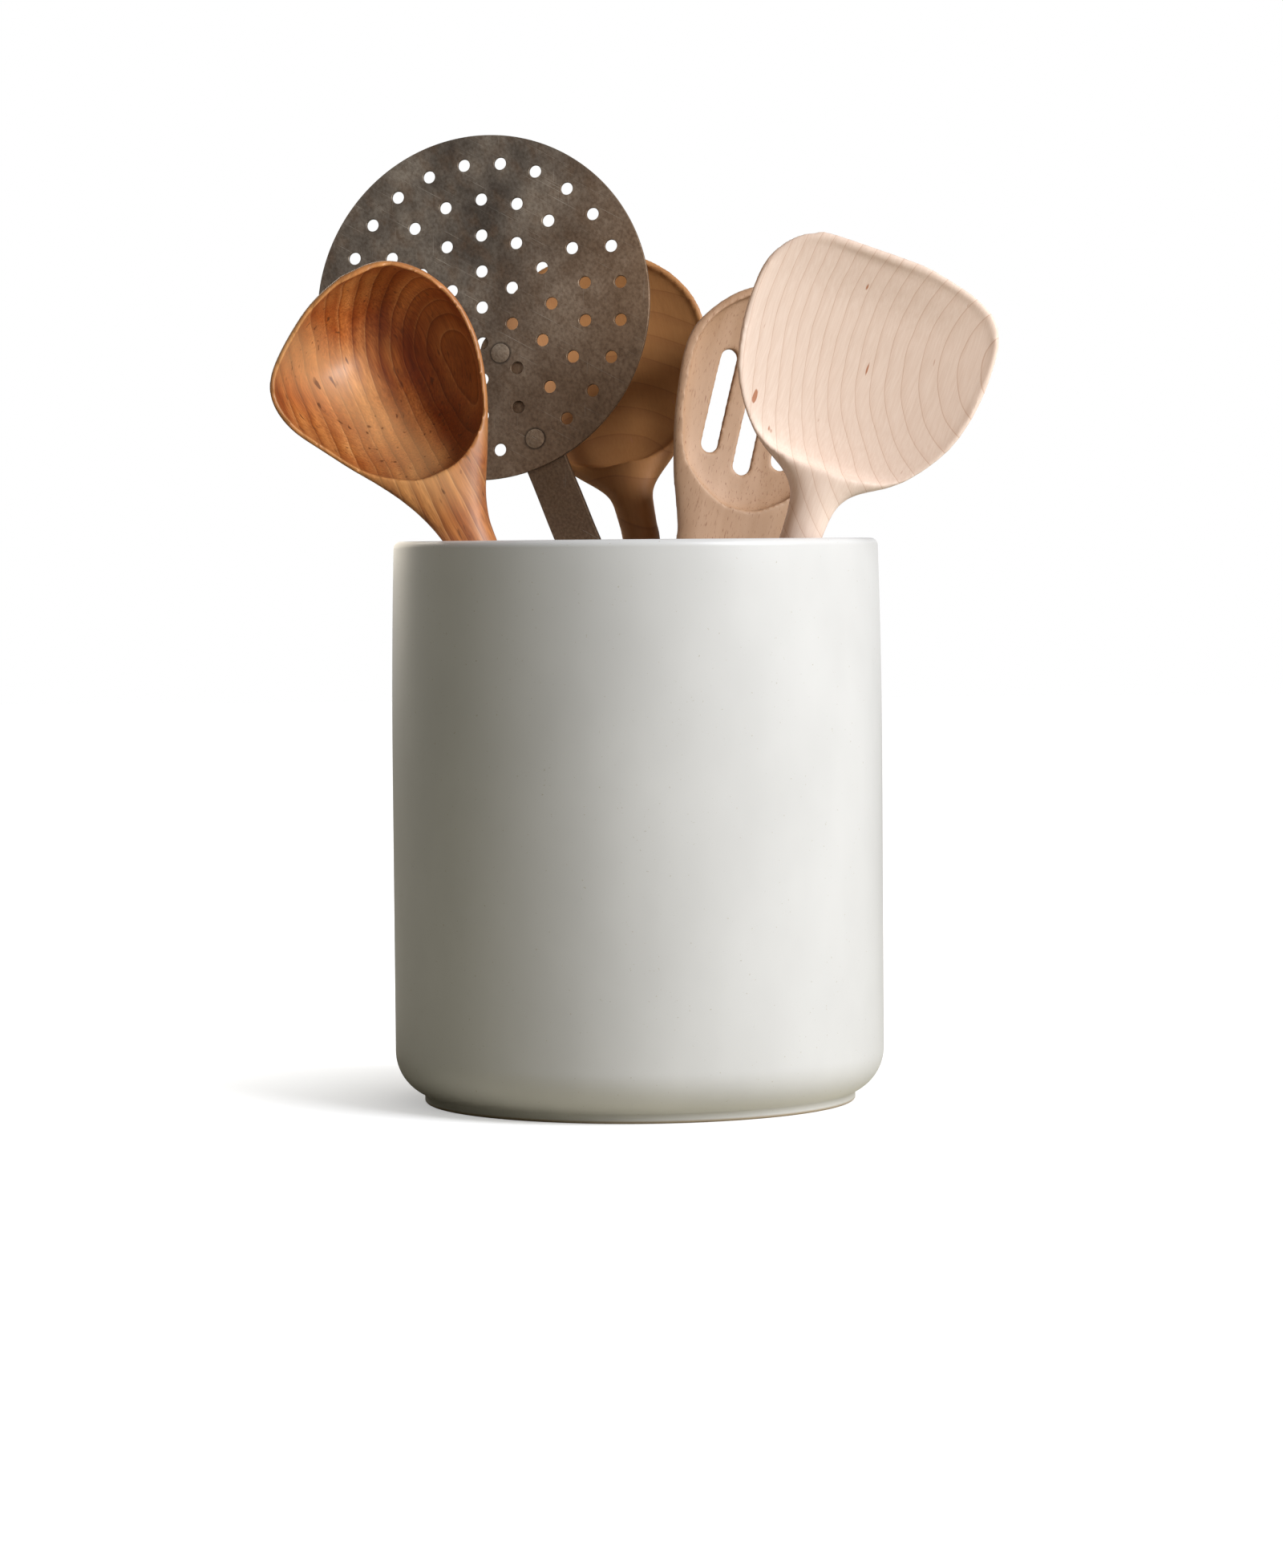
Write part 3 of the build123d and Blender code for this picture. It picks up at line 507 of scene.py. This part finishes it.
def teakMaterial(piece, finish):
    # Oiled teak: growth rings that run along the handle and close in arches inside the bowl,
    # each with a pale pore line; a paler band over the bowl's lower left, partly sapwood and partly
    # painted light; a darker heart round the rings' focus, partly heartwood and partly painted
    # shade on the bowl's right side; and short dark mineral streaks
    material, tree, shader = startMaterial("oiledTeak", Roughness=finish["roughness"], IOR=finish["ior"])
    grain = grainSpace(tree, piece)
    bent = warped(tree, grain, *finish["bend"])
    fromFocus = addNode(tree, "ShaderNodeVectorMath", {0: bent, 1: finish["ringFocus"]},
                        operation="SUBTRACT")
    parts = addNode(tree, "ShaderNodeSeparateXYZ", {0: fromFocus.outputs[0]})
    above = addNode(tree, "ShaderNodeMath", {0: parts.outputs["Z"], 1: 0.0, 2: finish["archEase"]},
                    operation="SMOOTH_MAX")
    rise = addNode(tree, "ShaderNodeMath", {0: above.outputs[0], 1: finish["ringRise"]},
                   operation="MULTIPLY")
    deep = addNode(tree, "ShaderNodeMath", {0: parts.outputs["Y"], 1: finish["ringDepth"]},
                   operation="MULTIPLY")
    section = addNode(tree, "ShaderNodeCombineXYZ",
                      {"X": parts.outputs["X"], "Y": deep.outputs[0], "Z": rise.outputs[0]})
    length = addNode(tree, "ShaderNodeVectorMath", {0: section.outputs[0]}, operation="LENGTH")
    reach = length.outputs["Value"]
    ring = addNode(tree, "ShaderNodeMath", {0: reach, 1: 1 / finish["ringPitch"]}, operation="MULTIPLY")
    phase = addNode(tree, "ShaderNodeMath", {0: ring.outputs[0]}, operation="FRACT")
    rings = addNode(tree, "ShaderNodeValToRGB", {0: phase.outputs[0]}, stops=finish["ring"])
    years = addNode(tree, "ShaderNodeTexNoise", {"W": ring.outputs[0], "Scale": 0.8, "Detail": 1.0},
                    noise_dimensions="1D")
    year = addNode(tree, "ShaderNodeValToRGB", {0: years.outputs["Fac"]},
                   stops=[(0.35, finish["darkYear"]), (0.65, "#ffffff")])
    patches = streaks(tree, bent, *finish["patch"], 2.0)
    patch = addNode(tree, "ShaderNodeValToRGB", {0: patches},
                    stops=[(0.36, finish["darkPatch"]), (0.62, "#ffffff")])
    fibres = streaks(tree, bent, *finish["fibre"])
    fibre = addNode(tree, "ShaderNodeValToRGB", {0: fibres},
                    stops=[(0.3, finish["darkFibre"]), (0.7, "#ffffff")])
    # Darker towards the rings' focus: heartwood colour and painted shade on the bowl's right side
    heartShade = addNode(tree, "ShaderNodeMapRange", {
        0: reach, 1: finish["heartShadeEdge"], 2: finish["heartShadeCore"], 3: 0.0, 4: finish["heartShadeShare"],
    })
    # Paler band over the bowl's lower left, fading towards the neck: sapwood and painted light
    slant = addNode(tree, "ShaderNodeMath",
                    {0: parts.outputs["Z"], 1: finish["sapLightSlant"], 2: parts.outputs["X"]},
                    operation="MULTIPLY_ADD")
    offMiddle = addNode(tree, "ShaderNodeMath", {0: slant.outputs[0], 1: finish["sapLightMiddle"]},
                        operation="SUBTRACT")
    aside = addNode(tree, "ShaderNodeMath", {0: offMiddle.outputs[0]}, operation="ABSOLUTE")
    band = addNode(tree, "ShaderNodeMapRange", {
        0: aside.outputs[0], 1: finish["sapLightEdge"], 2: finish["sapLightCore"], 3: 0.0, 4: finish["sapLightShare"],
    })
    inHead = addNode(tree, "ShaderNodeMapRange",
                     {0: parts.outputs["Z"], 1: finish["sapLightNeck"], 2: finish["sapLightHead"], 3: 0.2, 4: 1.0})
    sapLight = addNode(tree, "ShaderNodeMath", {0: band.outputs[0], 1: inHead.outputs[0]}, operation="MULTIPLY")
    flecks = streaks(tree, bent, *finish["fleckSize"], 1.0)
    fleck = addNode(tree, "ShaderNodeValToRGB", {0: flecks}, stops=[(0.67, "#000000"), (0.75, "#e0e0e0")])
    own = addNode(tree, "ShaderNodeSeparateXYZ", {0: grain})
    front = addNode(tree, "ShaderNodeMapRange", {0: own.outputs["Y"], 1: finish["rimDepth"], 2: -0.1})
    head = addNode(tree, "ShaderNodeMapRange",
                   {0: own.outputs["Z"], 1: finish["rimFrom"], 2: finish["rimFrom"] + finish["rimFade"]})
    rim = addNode(tree, "ShaderNodeMath", {0: front.outputs[0], 1: head.outputs[0]}, operation="MULTIPLY")
    worn = addNode(tree, "ShaderNodeMath", {0: rim.outputs[0], 1: finish["rimShare"]}, operation="MULTIPLY")
    color = layered(tree, rings.outputs[0], [
        (1.0, year.outputs[0], "MULTIPLY"),
        (1.0, patch.outputs[0], "MULTIPLY"),
        (1.0, fibre.outputs[0], "MULTIPLY"),
        (heartShade.outputs[0], hexColor(finish["heartShade"]), "MULTIPLY"),
        (sapLight.outputs[0], hexColor(finish["sapLight"]), "MIX"),
        (fleck.outputs[0], hexColor(finish["fleck"]), "MIX"),
        (worn.outputs[0], hexColor(finish["rim"]), "MIX"),
    ])
    endMaterial(tree, shader, color, fibres, finish["fibreDepth"], strength=0.3)
    return material


def mapleMaterial(name, piece, finish, rings):
    # Sanded bare maple: a smooth pale wood whose fine darker lines mark the growth rings,
    # here cut so that they arch round one place on the piece, and a few short brown flecks;
    # the spoon's copy gets darker, browner colours that are painted shade
    material, tree, shader = startMaterial(name, Roughness=finish["roughness"], IOR=finish["ior"])
    grain = grainSpace(tree, piece)
    bent = warped(tree, grain, *finish["bend"])
    flat = addNode(tree, "ShaderNodeVectorMath", {0: bent, 1: rings["centre"]}, operation="SUBTRACT")
    squashed = addNode(tree, "ShaderNodeVectorMath", {0: flat.outputs[0], 1: finish["ringSquash"]},
                       operation="MULTIPLY")
    away = addNode(tree, "ShaderNodeVectorMath", {0: squashed.outputs[0]}, operation="LENGTH")
    scaled = addNode(tree, "ShaderNodeMath", {0: away.outputs["Value"], 1: 1 / rings["first"]},
                     operation="MULTIPLY")
    raised = addNode(tree, "ShaderNodeMath", {0: scaled.outputs[0], 1: finish["ringPower"]},
                     operation="POWER")
    phase = addNode(tree, "ShaderNodeMath", {0: raised.outputs[0]}, operation="FRACT")
    ring = addNode(tree, "ShaderNodeValToRGB", {0: phase.outputs[0]}, stops=[
        (0.0, rings["line"]), (0.03, rings["pale"]), (0.6, rings["pale"]), (0.96, rings["deep"]),
        (1.0, rings["line"]),
    ])
    fibres = streaks(tree, bent, *finish["fibre"])
    fibre = addNode(tree, "ShaderNodeValToRGB", {0: fibres},
                    stops=[(0.3, finish["darkFibre"]), (0.7, "#ffffff")])
    flecks = streaks(tree, grain, *finish["fleckSize"], 0.0)
    fleck = addNode(tree, "ShaderNodeValToRGB", {0: flecks}, stops=[(0.82, "#000000"), (0.86, "#ffffff")])
    color = layered(tree, ring.outputs[0], [
        (1.0, fibre.outputs[0], "MULTIPLY"),
        (fleck.outputs[0], hexColor(finish["fleck"]), "MIX"),
    ])
    endMaterial(tree, shader, color, fibres, finish["fibreDepth"], strength=0.2)
    return material


def beechMaterial(piece, finish):
    # Sanded beech: an even warm pinkish wood full of short brown ray flecks along the grain
    material, tree, shader = startMaterial("sandedBeech", Roughness=finish["roughness"], IOR=finish["ior"])
    bent = warped(tree, grainSpace(tree, piece), *finish["bend"])
    bands = streaks(tree, bent, *finish["band"], 2.0)
    tone = addNode(tree, "ShaderNodeValToRGB", {0: bands}, stops=list(zip((0.3, 0.7), finish["shades"])))
    rays = streaks(tree, bent, *finish["raySize"], 1.0)
    ray = addNode(tree, "ShaderNodeValToRGB", {0: rays}, stops=[(0.62, "#000000"), (0.74, "#ffffff")])
    color = layered(tree, tone.outputs[0], [(ray.outputs[0], hexColor(finish["ray"]), "MIX")])
    endMaterial(tree, shader, color, rays, finish["rayDepth"], strength=0.2)
    return material


scoopMaple = mapleMaterial("sandedMapleScoop", scoop, maple, scoopRings)
# The spoon's copy of the maple, darkened as painted shade
spoonMapleInShade = mapleMaterial("sandedMapleSpoonInShade", spoon, maple, spoonRingsInShade)
addPiece("teakLadle", carvedMesh(ladle), teakMaterial(ladle, teak), "ladle", "ladle")
addPiece("mapleScoop", carvedMesh(scoop), scoopMaple, "scoop", "scoop")
addPiece("mapleSpoon", carvedMesh(spoon), spoonMapleInShade, "wide_spoon", "wide_spoon")
addPiece("slottedBeechSpoon", carvedMesh(slotted), beechMaterial(slotted, beech),
         "slotted_spoon", "slotted_spoon")


# Skimmer: a perforated disc on a strap, with two rivets. Its foot is the lower end of the
# strap, in the middle of the front face.

skimmer = {
    "body": "skimmer", "foot": (47.1841, 8.2264, 9.1364), "turn": -12.0,
    "discRadius": 56.0, "discThickness": 1.2, "discRise": 26.7, "discSides": 200, "discEdgeRound": 0.25,
    "discEdgeSteps": 3, "discEdgeAngle": 50, "holeRadius": 2.0, "holeSides": 28, "ringPitch": 11.7,
    "ringCount": 4, "firstRingHoles": 6, "patternTurn": 22.0,
    "strapWidth": 13.6, "strapThickness": 2.4, "strapOverlap": 47.3, "strapSteps": 60, "strapEndSteps": 24,
    "strapEdgeRound": 0.5, "strapEdgeSteps": 4, "strapEdgeAngle": 35,
    "wander": 0.16, "wanderLength": 14.0, "wanderInset": 0.12, "wanderApart": 3.0,
    "rivetSpacing": 30.4, "shankRadius": 1.8, "headRadius": 3.1, "headHeight": 0.5, "headEdge": 0.18,
    "tailRadius": 3.4, "tailHeight": 1.4, "rivetSides": 40, "rivetSteps": 8, "rivetEdgeAngle": 40,
}
# A scratch is its angle in degrees, its size across and along, and the noise level it starts at
iron = {
    "metallic": 0.7, "rough": (0.40, 0.60), "cloud": (17, 20), "stain": (4, 6), "stainDepth": 0.15,
    "fineDark": "#cdc6c0", "fine": (0.8, 1.0), "handSlant": -0.8, "handFrom": 275.0, "handTo": 205.0,
    "handShare": 0.75, "scratch": "#b3a99d", "longScratch": (38, 0.22, 26, 0.70),
    # The dark ring round each rivet head is painted shade of the crevice there, with grime
    "shortScratch": (-24, 0.2, 18, 0.71), "scratchFade": 0.05, "creviceShadeAndGrime": "#1d1814", "creviceShadeAndGrimeShare": 0.8,
    "creviceShadeAndGrimeWidth": 0.9,
}
plateShades = {"cloud": ("#564d45", "#72685e", "#92877a"), "stain": "#6d543f", "lowerTone": "#9a7d63"}
strapShades = {"cloud": ("#5f4c3e", "#75604c", "#8c735d"), "stain": "#6b5140", "lowerTone": "#806852"}
rivetShades = {"cloud": ("#6a6058", "#8b8074", "#a2978a"), "stain": "#7c6450", "lowerTone": "#a88d72"}


def skimmerPlaces(size):
    # Distances up the strap from its foot: the disc's centre, the strap's end and the rivets
    rimFoot = (lipHeight - size["foot"][2]) / axes[size["body"]].z + size["discRise"]
    centre = rimFoot + size["discRadius"]
    lower = centre - size["ringPitch"] * size["ringCount"]
    return centre, rimFoot + size["strapOverlap"], lower, lower + size["rivetSpacing"]


def plateFrame(size, height):
    # X across, Y up the strap from that height, Z out of the front
    flat = Matrix(((1, 0, 0), (0, 0, -1), (0, 1, 0))).to_4x4()
    return localFrame(size) @ Matrix.Translation((0, 0, height * mm)) @ flat


def discMesh(size, centre, lower, upper, material):
    # The perforated plate, with its cut edges just broken
    seed = linkObject("discSeed", bpy.data.meshes.new("discSeed"))
    mesh = runTree(seed, perforatedTree(size), {
        "Radius": size["discRadius"] * mm, "Thickness": size["discThickness"] * mm,
        "Hole radius": size["holeRadius"] * mm, "Ring pitch": size["ringPitch"] * mm,
        "Inner turn": math.radians(90 - size["patternTurn"]), "Outer turn": math.radians(90),
        "Shank radius": size["shankRadius"] * mm, "Lower rivet": (lower - centre) * mm,
        "Upper rivet": (upper - centre) * mm, "Clear": 2 * size["holeRadius"] * mm, "Material": material,
    })
    plate = linkObject("plate", cleanShell(mesh, plateFrame(size, centre)))
    edge = plate.modifiers.new("edge", "BEVEL")
    edge.width = size["discEdgeRound"] * mm
    edge.segments = size["discEdgeSteps"]
    edge.limit_method = "ANGLE"
    edge.angle_limit = math.radians(size["discEdgeAngle"])
    edge.harden_normals = True
    return plainMesh(plate)


def strapMesh(size, length):
    # The slot-shaped outline, drawn out by hammer so that its sides wander a little
    half = size["strapWidth"] / 2
    steps = size["strapSteps"]
    sides = [(half, half + (length - 2 * half) * step / steps) for step in range(1, steps)]
    outline = arcPoints(0, length - half, half, 0, 180, size["strapEndSteps"])
    outline += [(-x, y) for x, y in reversed(sides)]
    outline += arcPoints(0, half, half, 180, 180, size["strapEndSteps"])
    outline += sides
    strap = bmesh.new()
    ring = []
    for x, y in outline:
        spot = (math.copysign(size["wanderApart"], x), y / size["wanderLength"], 0)
        wander = size["wander"] * noise.noise(spot) - size["wanderInset"]
        ring.append(strap.verts.new(((x + math.copysign(wander, x)) * mm, y * mm, 0)))
    face = strap.faces.new(ring)
    raised = bmesh.ops.extrude_face_region(strap, geom=[face])
    moved = [item for item in raised["geom"] if isinstance(item, bmesh.types.BMVert)]
    bmesh.ops.translate(strap, verts=moved, vec=(0, 0, -size["strapThickness"] * mm))
    rims = [edge for edge in strap.edges if len(edge.link_faces) == 2 and edge.calc_face_angle() > 1]
    bmesh.ops.bevel(strap, geom=rims, offset=size["strapEdgeRound"] * mm, segments=size["strapEdgeSteps"],
                    profile=0.5, affect="EDGES")
    mesh = bpy.data.meshes.new("strap")
    strap.to_mesh(mesh)
    strap.free()
    mesh = cleanShell(mesh, plateFrame(size, 0))
    mesh.set_sharp_from_angle(angle=math.radians(size["strapEdgeAngle"]))
    return mesh


def rivetMesh(size, lower, upper, lathe, material):
    # Profile from the middle of the head to the middle of the hammered tail; Z is the front
    front = size["discThickness"]
    top = front + size["headHeight"]
    back = -size["strapThickness"]
    rise = size["headHeight"] - size["headEdge"]
    dome = (size["headRadius"]**2 + rise**2) / (2 * rise)
    spread = math.degrees(math.asin(size["headRadius"] / dome))
    quarter = arcPoints(0, 0, 1, 0, 90, size["rivetSteps"])
    profile = [(0, top)] + arcPoints(0, top - dome, dome, 90, -spread, size["rivetSteps"])[1:]
    profile += [(size["headRadius"], front), (size["shankRadius"], front), (size["shankRadius"], back)]
    profile += [(size["tailRadius"] * x, back - size["tailHeight"] * z) for x, z in quarter[:-1]]
    profile += [(0, back - size["tailHeight"])]
    mesh = runTree(edgeChain("rivetProfile", profile), rivetTree(lathe), {
        "Sides": size["rivetSides"], "Lower rivet": lower * mm, "Upper rivet": upper * mm,
        "Material": material,
    })
    mesh = cleanShell(mesh, plateFrame(size, 0))
    mesh.set_sharp_from_angle(angle=math.radians(size["rivetEdgeAngle"]))
    return mesh


def scratches(tree, grain, fade, turn, across, along, threshold):
    # Fine straight scratches at that angle in the plate's plane
    turned = addNode(tree, "ShaderNodeMapping", {"Vector": grain, "Rotation": (0, math.radians(turn), 0)})
    lines = streaks(tree, turned.outputs[0], across, along, 1.0)
    mask = addNode(tree, "ShaderNodeMapRange", {0: lines, 1: threshold, 2: threshold + fade})
    return mask.outputs[0]


def ironMaterial(name, piece, finish, shades, rivets=()):
    # Wrought iron plate, oiled and browned by use: mottled grey-brown with a dull metal sheen,
    # rusty stains, paler and browner towards the lower right of the disc and over the strap, fine
    # bright scratches where it was scoured, and a dark ring round each rivet head that is painted
    # shade of the crevice there, with grime settled in it
    material, tree, shader = startMaterial(name, Metallic=finish["metallic"])
    grain = grainSpace(tree, piece)
    clouds = streaks(tree, grain, *finish["cloud"], 4.0)
    tone = addNode(tree, "ShaderNodeValToRGB", {0: clouds},
                   stops=list(zip((0.35, 0.5, 0.66), shades["cloud"])))
    stains = streaks(tree, grain, *finish["stain"], 5.0)
    stained = addNode(tree, "ShaderNodeValToRGB", {0: stains}, stops=[(0.46, "#000000"), (0.7, "#b4b4b4")])
    own = addNode(tree, "ShaderNodeSeparateXYZ", {0: grain})
    slant = addNode(tree, "ShaderNodeMath",
                    {0: own.outputs["X"], 1: finish["handSlant"], 2: own.outputs["Z"]},
                    operation="MULTIPLY_ADD")
    # Paler and browner towards the lower right of the disc and over the strap
    lowerPart = addNode(tree, "ShaderNodeMapRange", {
        0: slant.outputs[0], 1: finish["handFrom"], 2: finish["handTo"], 3: 0.0, 4: finish["handShare"],
    })
    fines = streaks(tree, grain, *finish["fine"], 3.0)
    fine = addNode(tree, "ShaderNodeValToRGB", {0: fines},
                   stops=[(0.3, finish["fineDark"]), (0.65, "#ffffff")])
    long = scratches(tree, grain, finish["scratchFade"], *finish["longScratch"])
    short = scratches(tree, grain, finish["scratchFade"], *finish["shortScratch"])
    both = addNode(tree, "ShaderNodeMath", {0: long, 1: short}, operation="MAXIMUM")
    worn = addNode(tree, "ShaderNodeMapRange", {0: clouds, 1: 0.42, 2: 0.6, 3: 0.1, 4: 0.8})
    bright = addNode(tree, "ShaderNodeMath", {0: both.outputs[0], 1: worn.outputs[0]}, operation="MULTIPLY")
    color = layered(tree, tone.outputs[0], [
        (lowerPart.outputs[0], hexColor(shades["lowerTone"]), "MIX"),
        (stained.outputs[0], hexColor(shades["stain"]), "MIX"),
        (1.0, fine.outputs[0], "MULTIPLY"),
        (bright.outputs[0], hexColor(finish["scratch"]), "MIX"),
    ])
    # A dark ring round each rivet head on the plate: painted shade of the crevice, and grime settled there
    for height in rivets:
        flat = addNode(tree, "ShaderNodeVectorMath", {0: grain, 1: (1, 0, 1)}, operation="MULTIPLY")
        away = addNode(tree, "ShaderNodeVectorMath", {0: flat.outputs[0], 1: (0, 0, height)},
                       operation="DISTANCE")
        creviceShadeAndGrime = addNode(tree, "ShaderNodeMapRange", {
            0: away.outputs["Value"], 1: piece["headRadius"], 2: piece["headRadius"] + finish["creviceShadeAndGrimeWidth"],
            3: finish["creviceShadeAndGrimeShare"], 4: 0.0,
        })
        color = layered(tree, color, [(creviceShadeAndGrime.outputs[0], hexColor(finish["creviceShadeAndGrime"]), "MIX")])
    low, high = finish["rough"]
    rough = addNode(tree, "ShaderNodeMapRange", {0: stains, 1: 0.3, 2: 0.7, 3: low, 4: high})
    tree.links.new(rough.outputs[0], shader.inputs["Roughness"])
    endMaterial(tree, shader, color, stains, finish["stainDepth"], strength=0.35)
    return material


discCentre, strapLength, lowerRivet, upperRivet = skimmerPlaces(skimmer)
plateIron = ironMaterial("wornIronPlate", skimmer, iron, plateShades, rivets=(lowerRivet, upperRivet))
strapIron = ironMaterial("brownedIronStrap", skimmer, iron, strapShades)
rivetIron = ironMaterial("polishedRivetIron", skimmer, iron, rivetShades)
discPlate = discMesh(skimmer, discCentre, lowerRivet, upperRivet, plateIron)
addPiece("ironDisc", discPlate, plateIron, "skimmer", "skimmer_disc")
addPiece("ironStrap", strapMesh(skimmer, strapLength), strapIron, "skimmer", "skimmer_handle")
rivetPair = rivetMesh(skimmer, lowerRivet, upperRivet, lathe, rivetIron)
addPiece("ironRivets", rivetPair, rivetIron, "skimmer", "skimmer_rivets")


# Floor, light and camera, in metres; only the camera's sensor is in millimetres, as its lens is

paper = {
    "reach": 4.0, "seen": "#f4f4f3", "bounce": "#cfcab7",
    "glow": 0.30, "whiteFrom": 0.062, "whiteBy": 0.155, "whitePower": 0.6,
}
room = {"ambient": "#cfc6a2", "ambientLevel": 0.058, "shineLevel": 0.8}
leftNames = ("teakLadle", "ironDisc", "ironStrap", "ironRivets")
rightNames = ("mapleScoop", "mapleSpoon", "slottedBeechSpoon")
softboxes = {
    "key": {"azimuth": 58.0, "elevation": 34.0, "distance": 1.9, "side": 1.3, "watts": 49.0, "aim": 0.17,
            "tint": "#f7f9ff", "lit": ("crockPot", "floor")},
    "left": {"azimuth": 38.0, "elevation": 12.0, "distance": 1.6, "side": 0.45, "watts": 30.0, "aim": 0.24,
             "tint": "#ffffff", "lit": leftNames},
    "right": {"azimuth": 60.0, "elevation": 24.0, "distance": 1.6, "side": 0.45, "watts": 31.8, "aim": 0.24,
              "tint": "#ffffff", "lit": rightNames},
    "front": {"azimuth": 12.0, "elevation": 7.0, "distance": 1.6, "side": 0.3, "watts": 6.5, "aim": 0.24,
              "tint": "#ffffff", "lit": ("slottedBeechSpoon",)},
    "fill": {"azimuth": -55.0, "elevation": 10.0, "distance": 1.2, "side": 0.7, "watts": 2.6, "aim": 0.24,
             "tint": "#ffc9a0", "lit": rightNames},
    "rear": {"azimuth": -154.0, "elevation": 20.0, "distance": 2.0, "side": 1.4, "watts": 14.0, "aim": 0.15,
             "tint": "#fff4e0", "lit": ("crockPot",) + leftNames + rightNames},
}
view = {
    "place": (0.0012, -1.4854, 0.1705), "pitch": 2.788, "roll": 0.488,
    "focalPixels": 5966, "imageHeight": 1955, "sensor": 36.0, "clipNear": 0.05, "clipFar": 30.0,
}


def floorMaterial(size):
    # White sweep paper with a painted glow that only the camera sees, weak beside the crock and
    # full white a hand's breadth from it, so that only the shadow at the foot is left; it throws
    # less light back than the camera sees
    material, tree, shader = startMaterial("whiteSweepPaper", Roughness=0.9, Specular_IOR_Level=0.0,
                                           Emission_Color=(1, 1, 1, 1))
    seen = addNode(tree, "ShaderNodeLightPath").outputs["Is Camera Ray"]
    color = layered(tree, hexColor(size["bounce"]), [(seen, hexColor(size["seen"]), "MIX")])
    tree.links.new(color, shader.inputs["Base Color"])
    place = addNode(tree, "ShaderNodeTexCoord")
    away = addNode(tree, "ShaderNodeVectorMath", {0: place.outputs["Object"]}, operation="LENGTH")
    share = addNode(tree, "ShaderNodeMapRange",
                    {0: away.outputs["Value"], 1: size["whiteFrom"], 2: size["whiteBy"], 3: 0.0, 4: 1.0})
    eased = addNode(tree, "ShaderNodeMath", {0: share.outputs[0], 1: size["whitePower"]}, operation="POWER")
    level = addNode(tree, "ShaderNodeMapRange", {0: eased.outputs[0], 3: size["glow"], 4: 1.0})
    glow = addNode(tree, "ShaderNodeMath", {0: seen, 1: level.outputs[0]}, operation="MULTIPLY")
    tree.links.new(glow.outputs[0], shader.inputs["Emission Strength"])
    return material


def addFloor(size):
    reach = size["reach"]
    mesh = bpy.data.meshes.new("floor")
    corners = [(-reach, -reach, 0), (reach, -reach, 0), (reach, reach, 0), (-reach, reach, 0)]
    mesh.from_pydata(corners, [], [(0, 1, 2, 3)])
    mesh.materials.append(floorMaterial(size))
    linkObject("floor", mesh)


def addWorld(size):
    # Soft warm light on the pieces, a paler shine in their gloss, and white behind them
    world = bpy.data.worlds.new("studio")
    world.use_nodes = True
    bpy.context.scene.world = world
    tree = world.node_tree
    tree.nodes.clear()
    rays = addNode(tree, "ShaderNodeLightPath")
    seen = addNode(tree, "ShaderNodeMath",
                   {0: rays.outputs["Is Camera Ray"], 1: rays.outputs["Is Transmission Ray"]},
                   operation="MAXIMUM")
    soft = addNode(tree, "ShaderNodeBackground",
                   {"Color": hexColor(size["ambient"]), "Strength": size["ambientLevel"]})
    shine = addNode(tree, "ShaderNodeBackground", {"Strength": size["shineLevel"]})
    white = addNode(tree, "ShaderNodeBackground", {"Color": (1, 1, 1, 1), "Strength": 1.0})
    lit = addNode(tree, "ShaderNodeMixShader",
                  {0: rays.outputs["Is Glossy Ray"], 1: soft.outputs[0], 2: shine.outputs[0]})
    mixed = addNode(tree, "ShaderNodeMixShader",
                    {0: seen.outputs[0], 1: lit.outputs[0], 2: white.outputs[0]})
    addNode(tree, "ShaderNodeOutputWorld", {0: mixed.outputs[0]})


def addSoftbox(name, size):
    # The azimuth is turned from the camera's side to the right; it lights its own objects alone
    turn, rise = math.radians(size["azimuth"]), math.radians(size["elevation"])
    away = Vector((math.sin(turn) * math.cos(rise), -math.cos(turn) * math.cos(rise), math.sin(rise)))
    lamp = bpy.data.lights.new(name, "AREA")
    lamp.size = size["side"]
    lamp.energy = size["watts"]
    lamp.color = hexColor(size["tint"])[:3]
    softbox = linkObject(name, lamp)
    softbox.location = Vector((0, 0, size["aim"])) + away * size["distance"]
    softbox.rotation_mode = "QUATERNION"
    softbox.rotation_quaternion = (-away).to_track_quat("-Z", "Y")
    receivers = bpy.data.collections.new(name + "Lit")
    for thing in size["lit"]:
        receivers.objects.link(bpy.data.objects[thing])
    softbox.light_linking.receiver_collection = receivers


def addCamera(size):
    # Looks along +Y, a little down, rolled by a trace; the picture is upright, so the sensor
    # lies along its height
    lens = bpy.data.cameras.new("camera")
    lens.sensor_width = size["sensor"]
    lens.lens = size["focalPixels"] * size["sensor"] / size["imageHeight"]
    lens.clip_start, lens.clip_end = size["clipNear"], size["clipFar"]
    camera = linkObject("camera", lens)
    camera.rotation_mode = "QUATERNION"
    level = Matrix.Rotation(math.radians(90 - size["pitch"]), 3, "X")
    rolled = level @ Matrix.Rotation(math.radians(-size["roll"]), 3, "Z")
    camera.location = size["place"]
    camera.rotation_quaternion = rolled.to_quaternion()
    bpy.context.scene.camera = camera


addFloor(paper)
addWorld(room)
for name, size in softboxes.items():
    addSoftbox(name, size)
addCamera(view)
bpy.context.scene.view_settings.view_transform = "Standard"
print("studio ready")
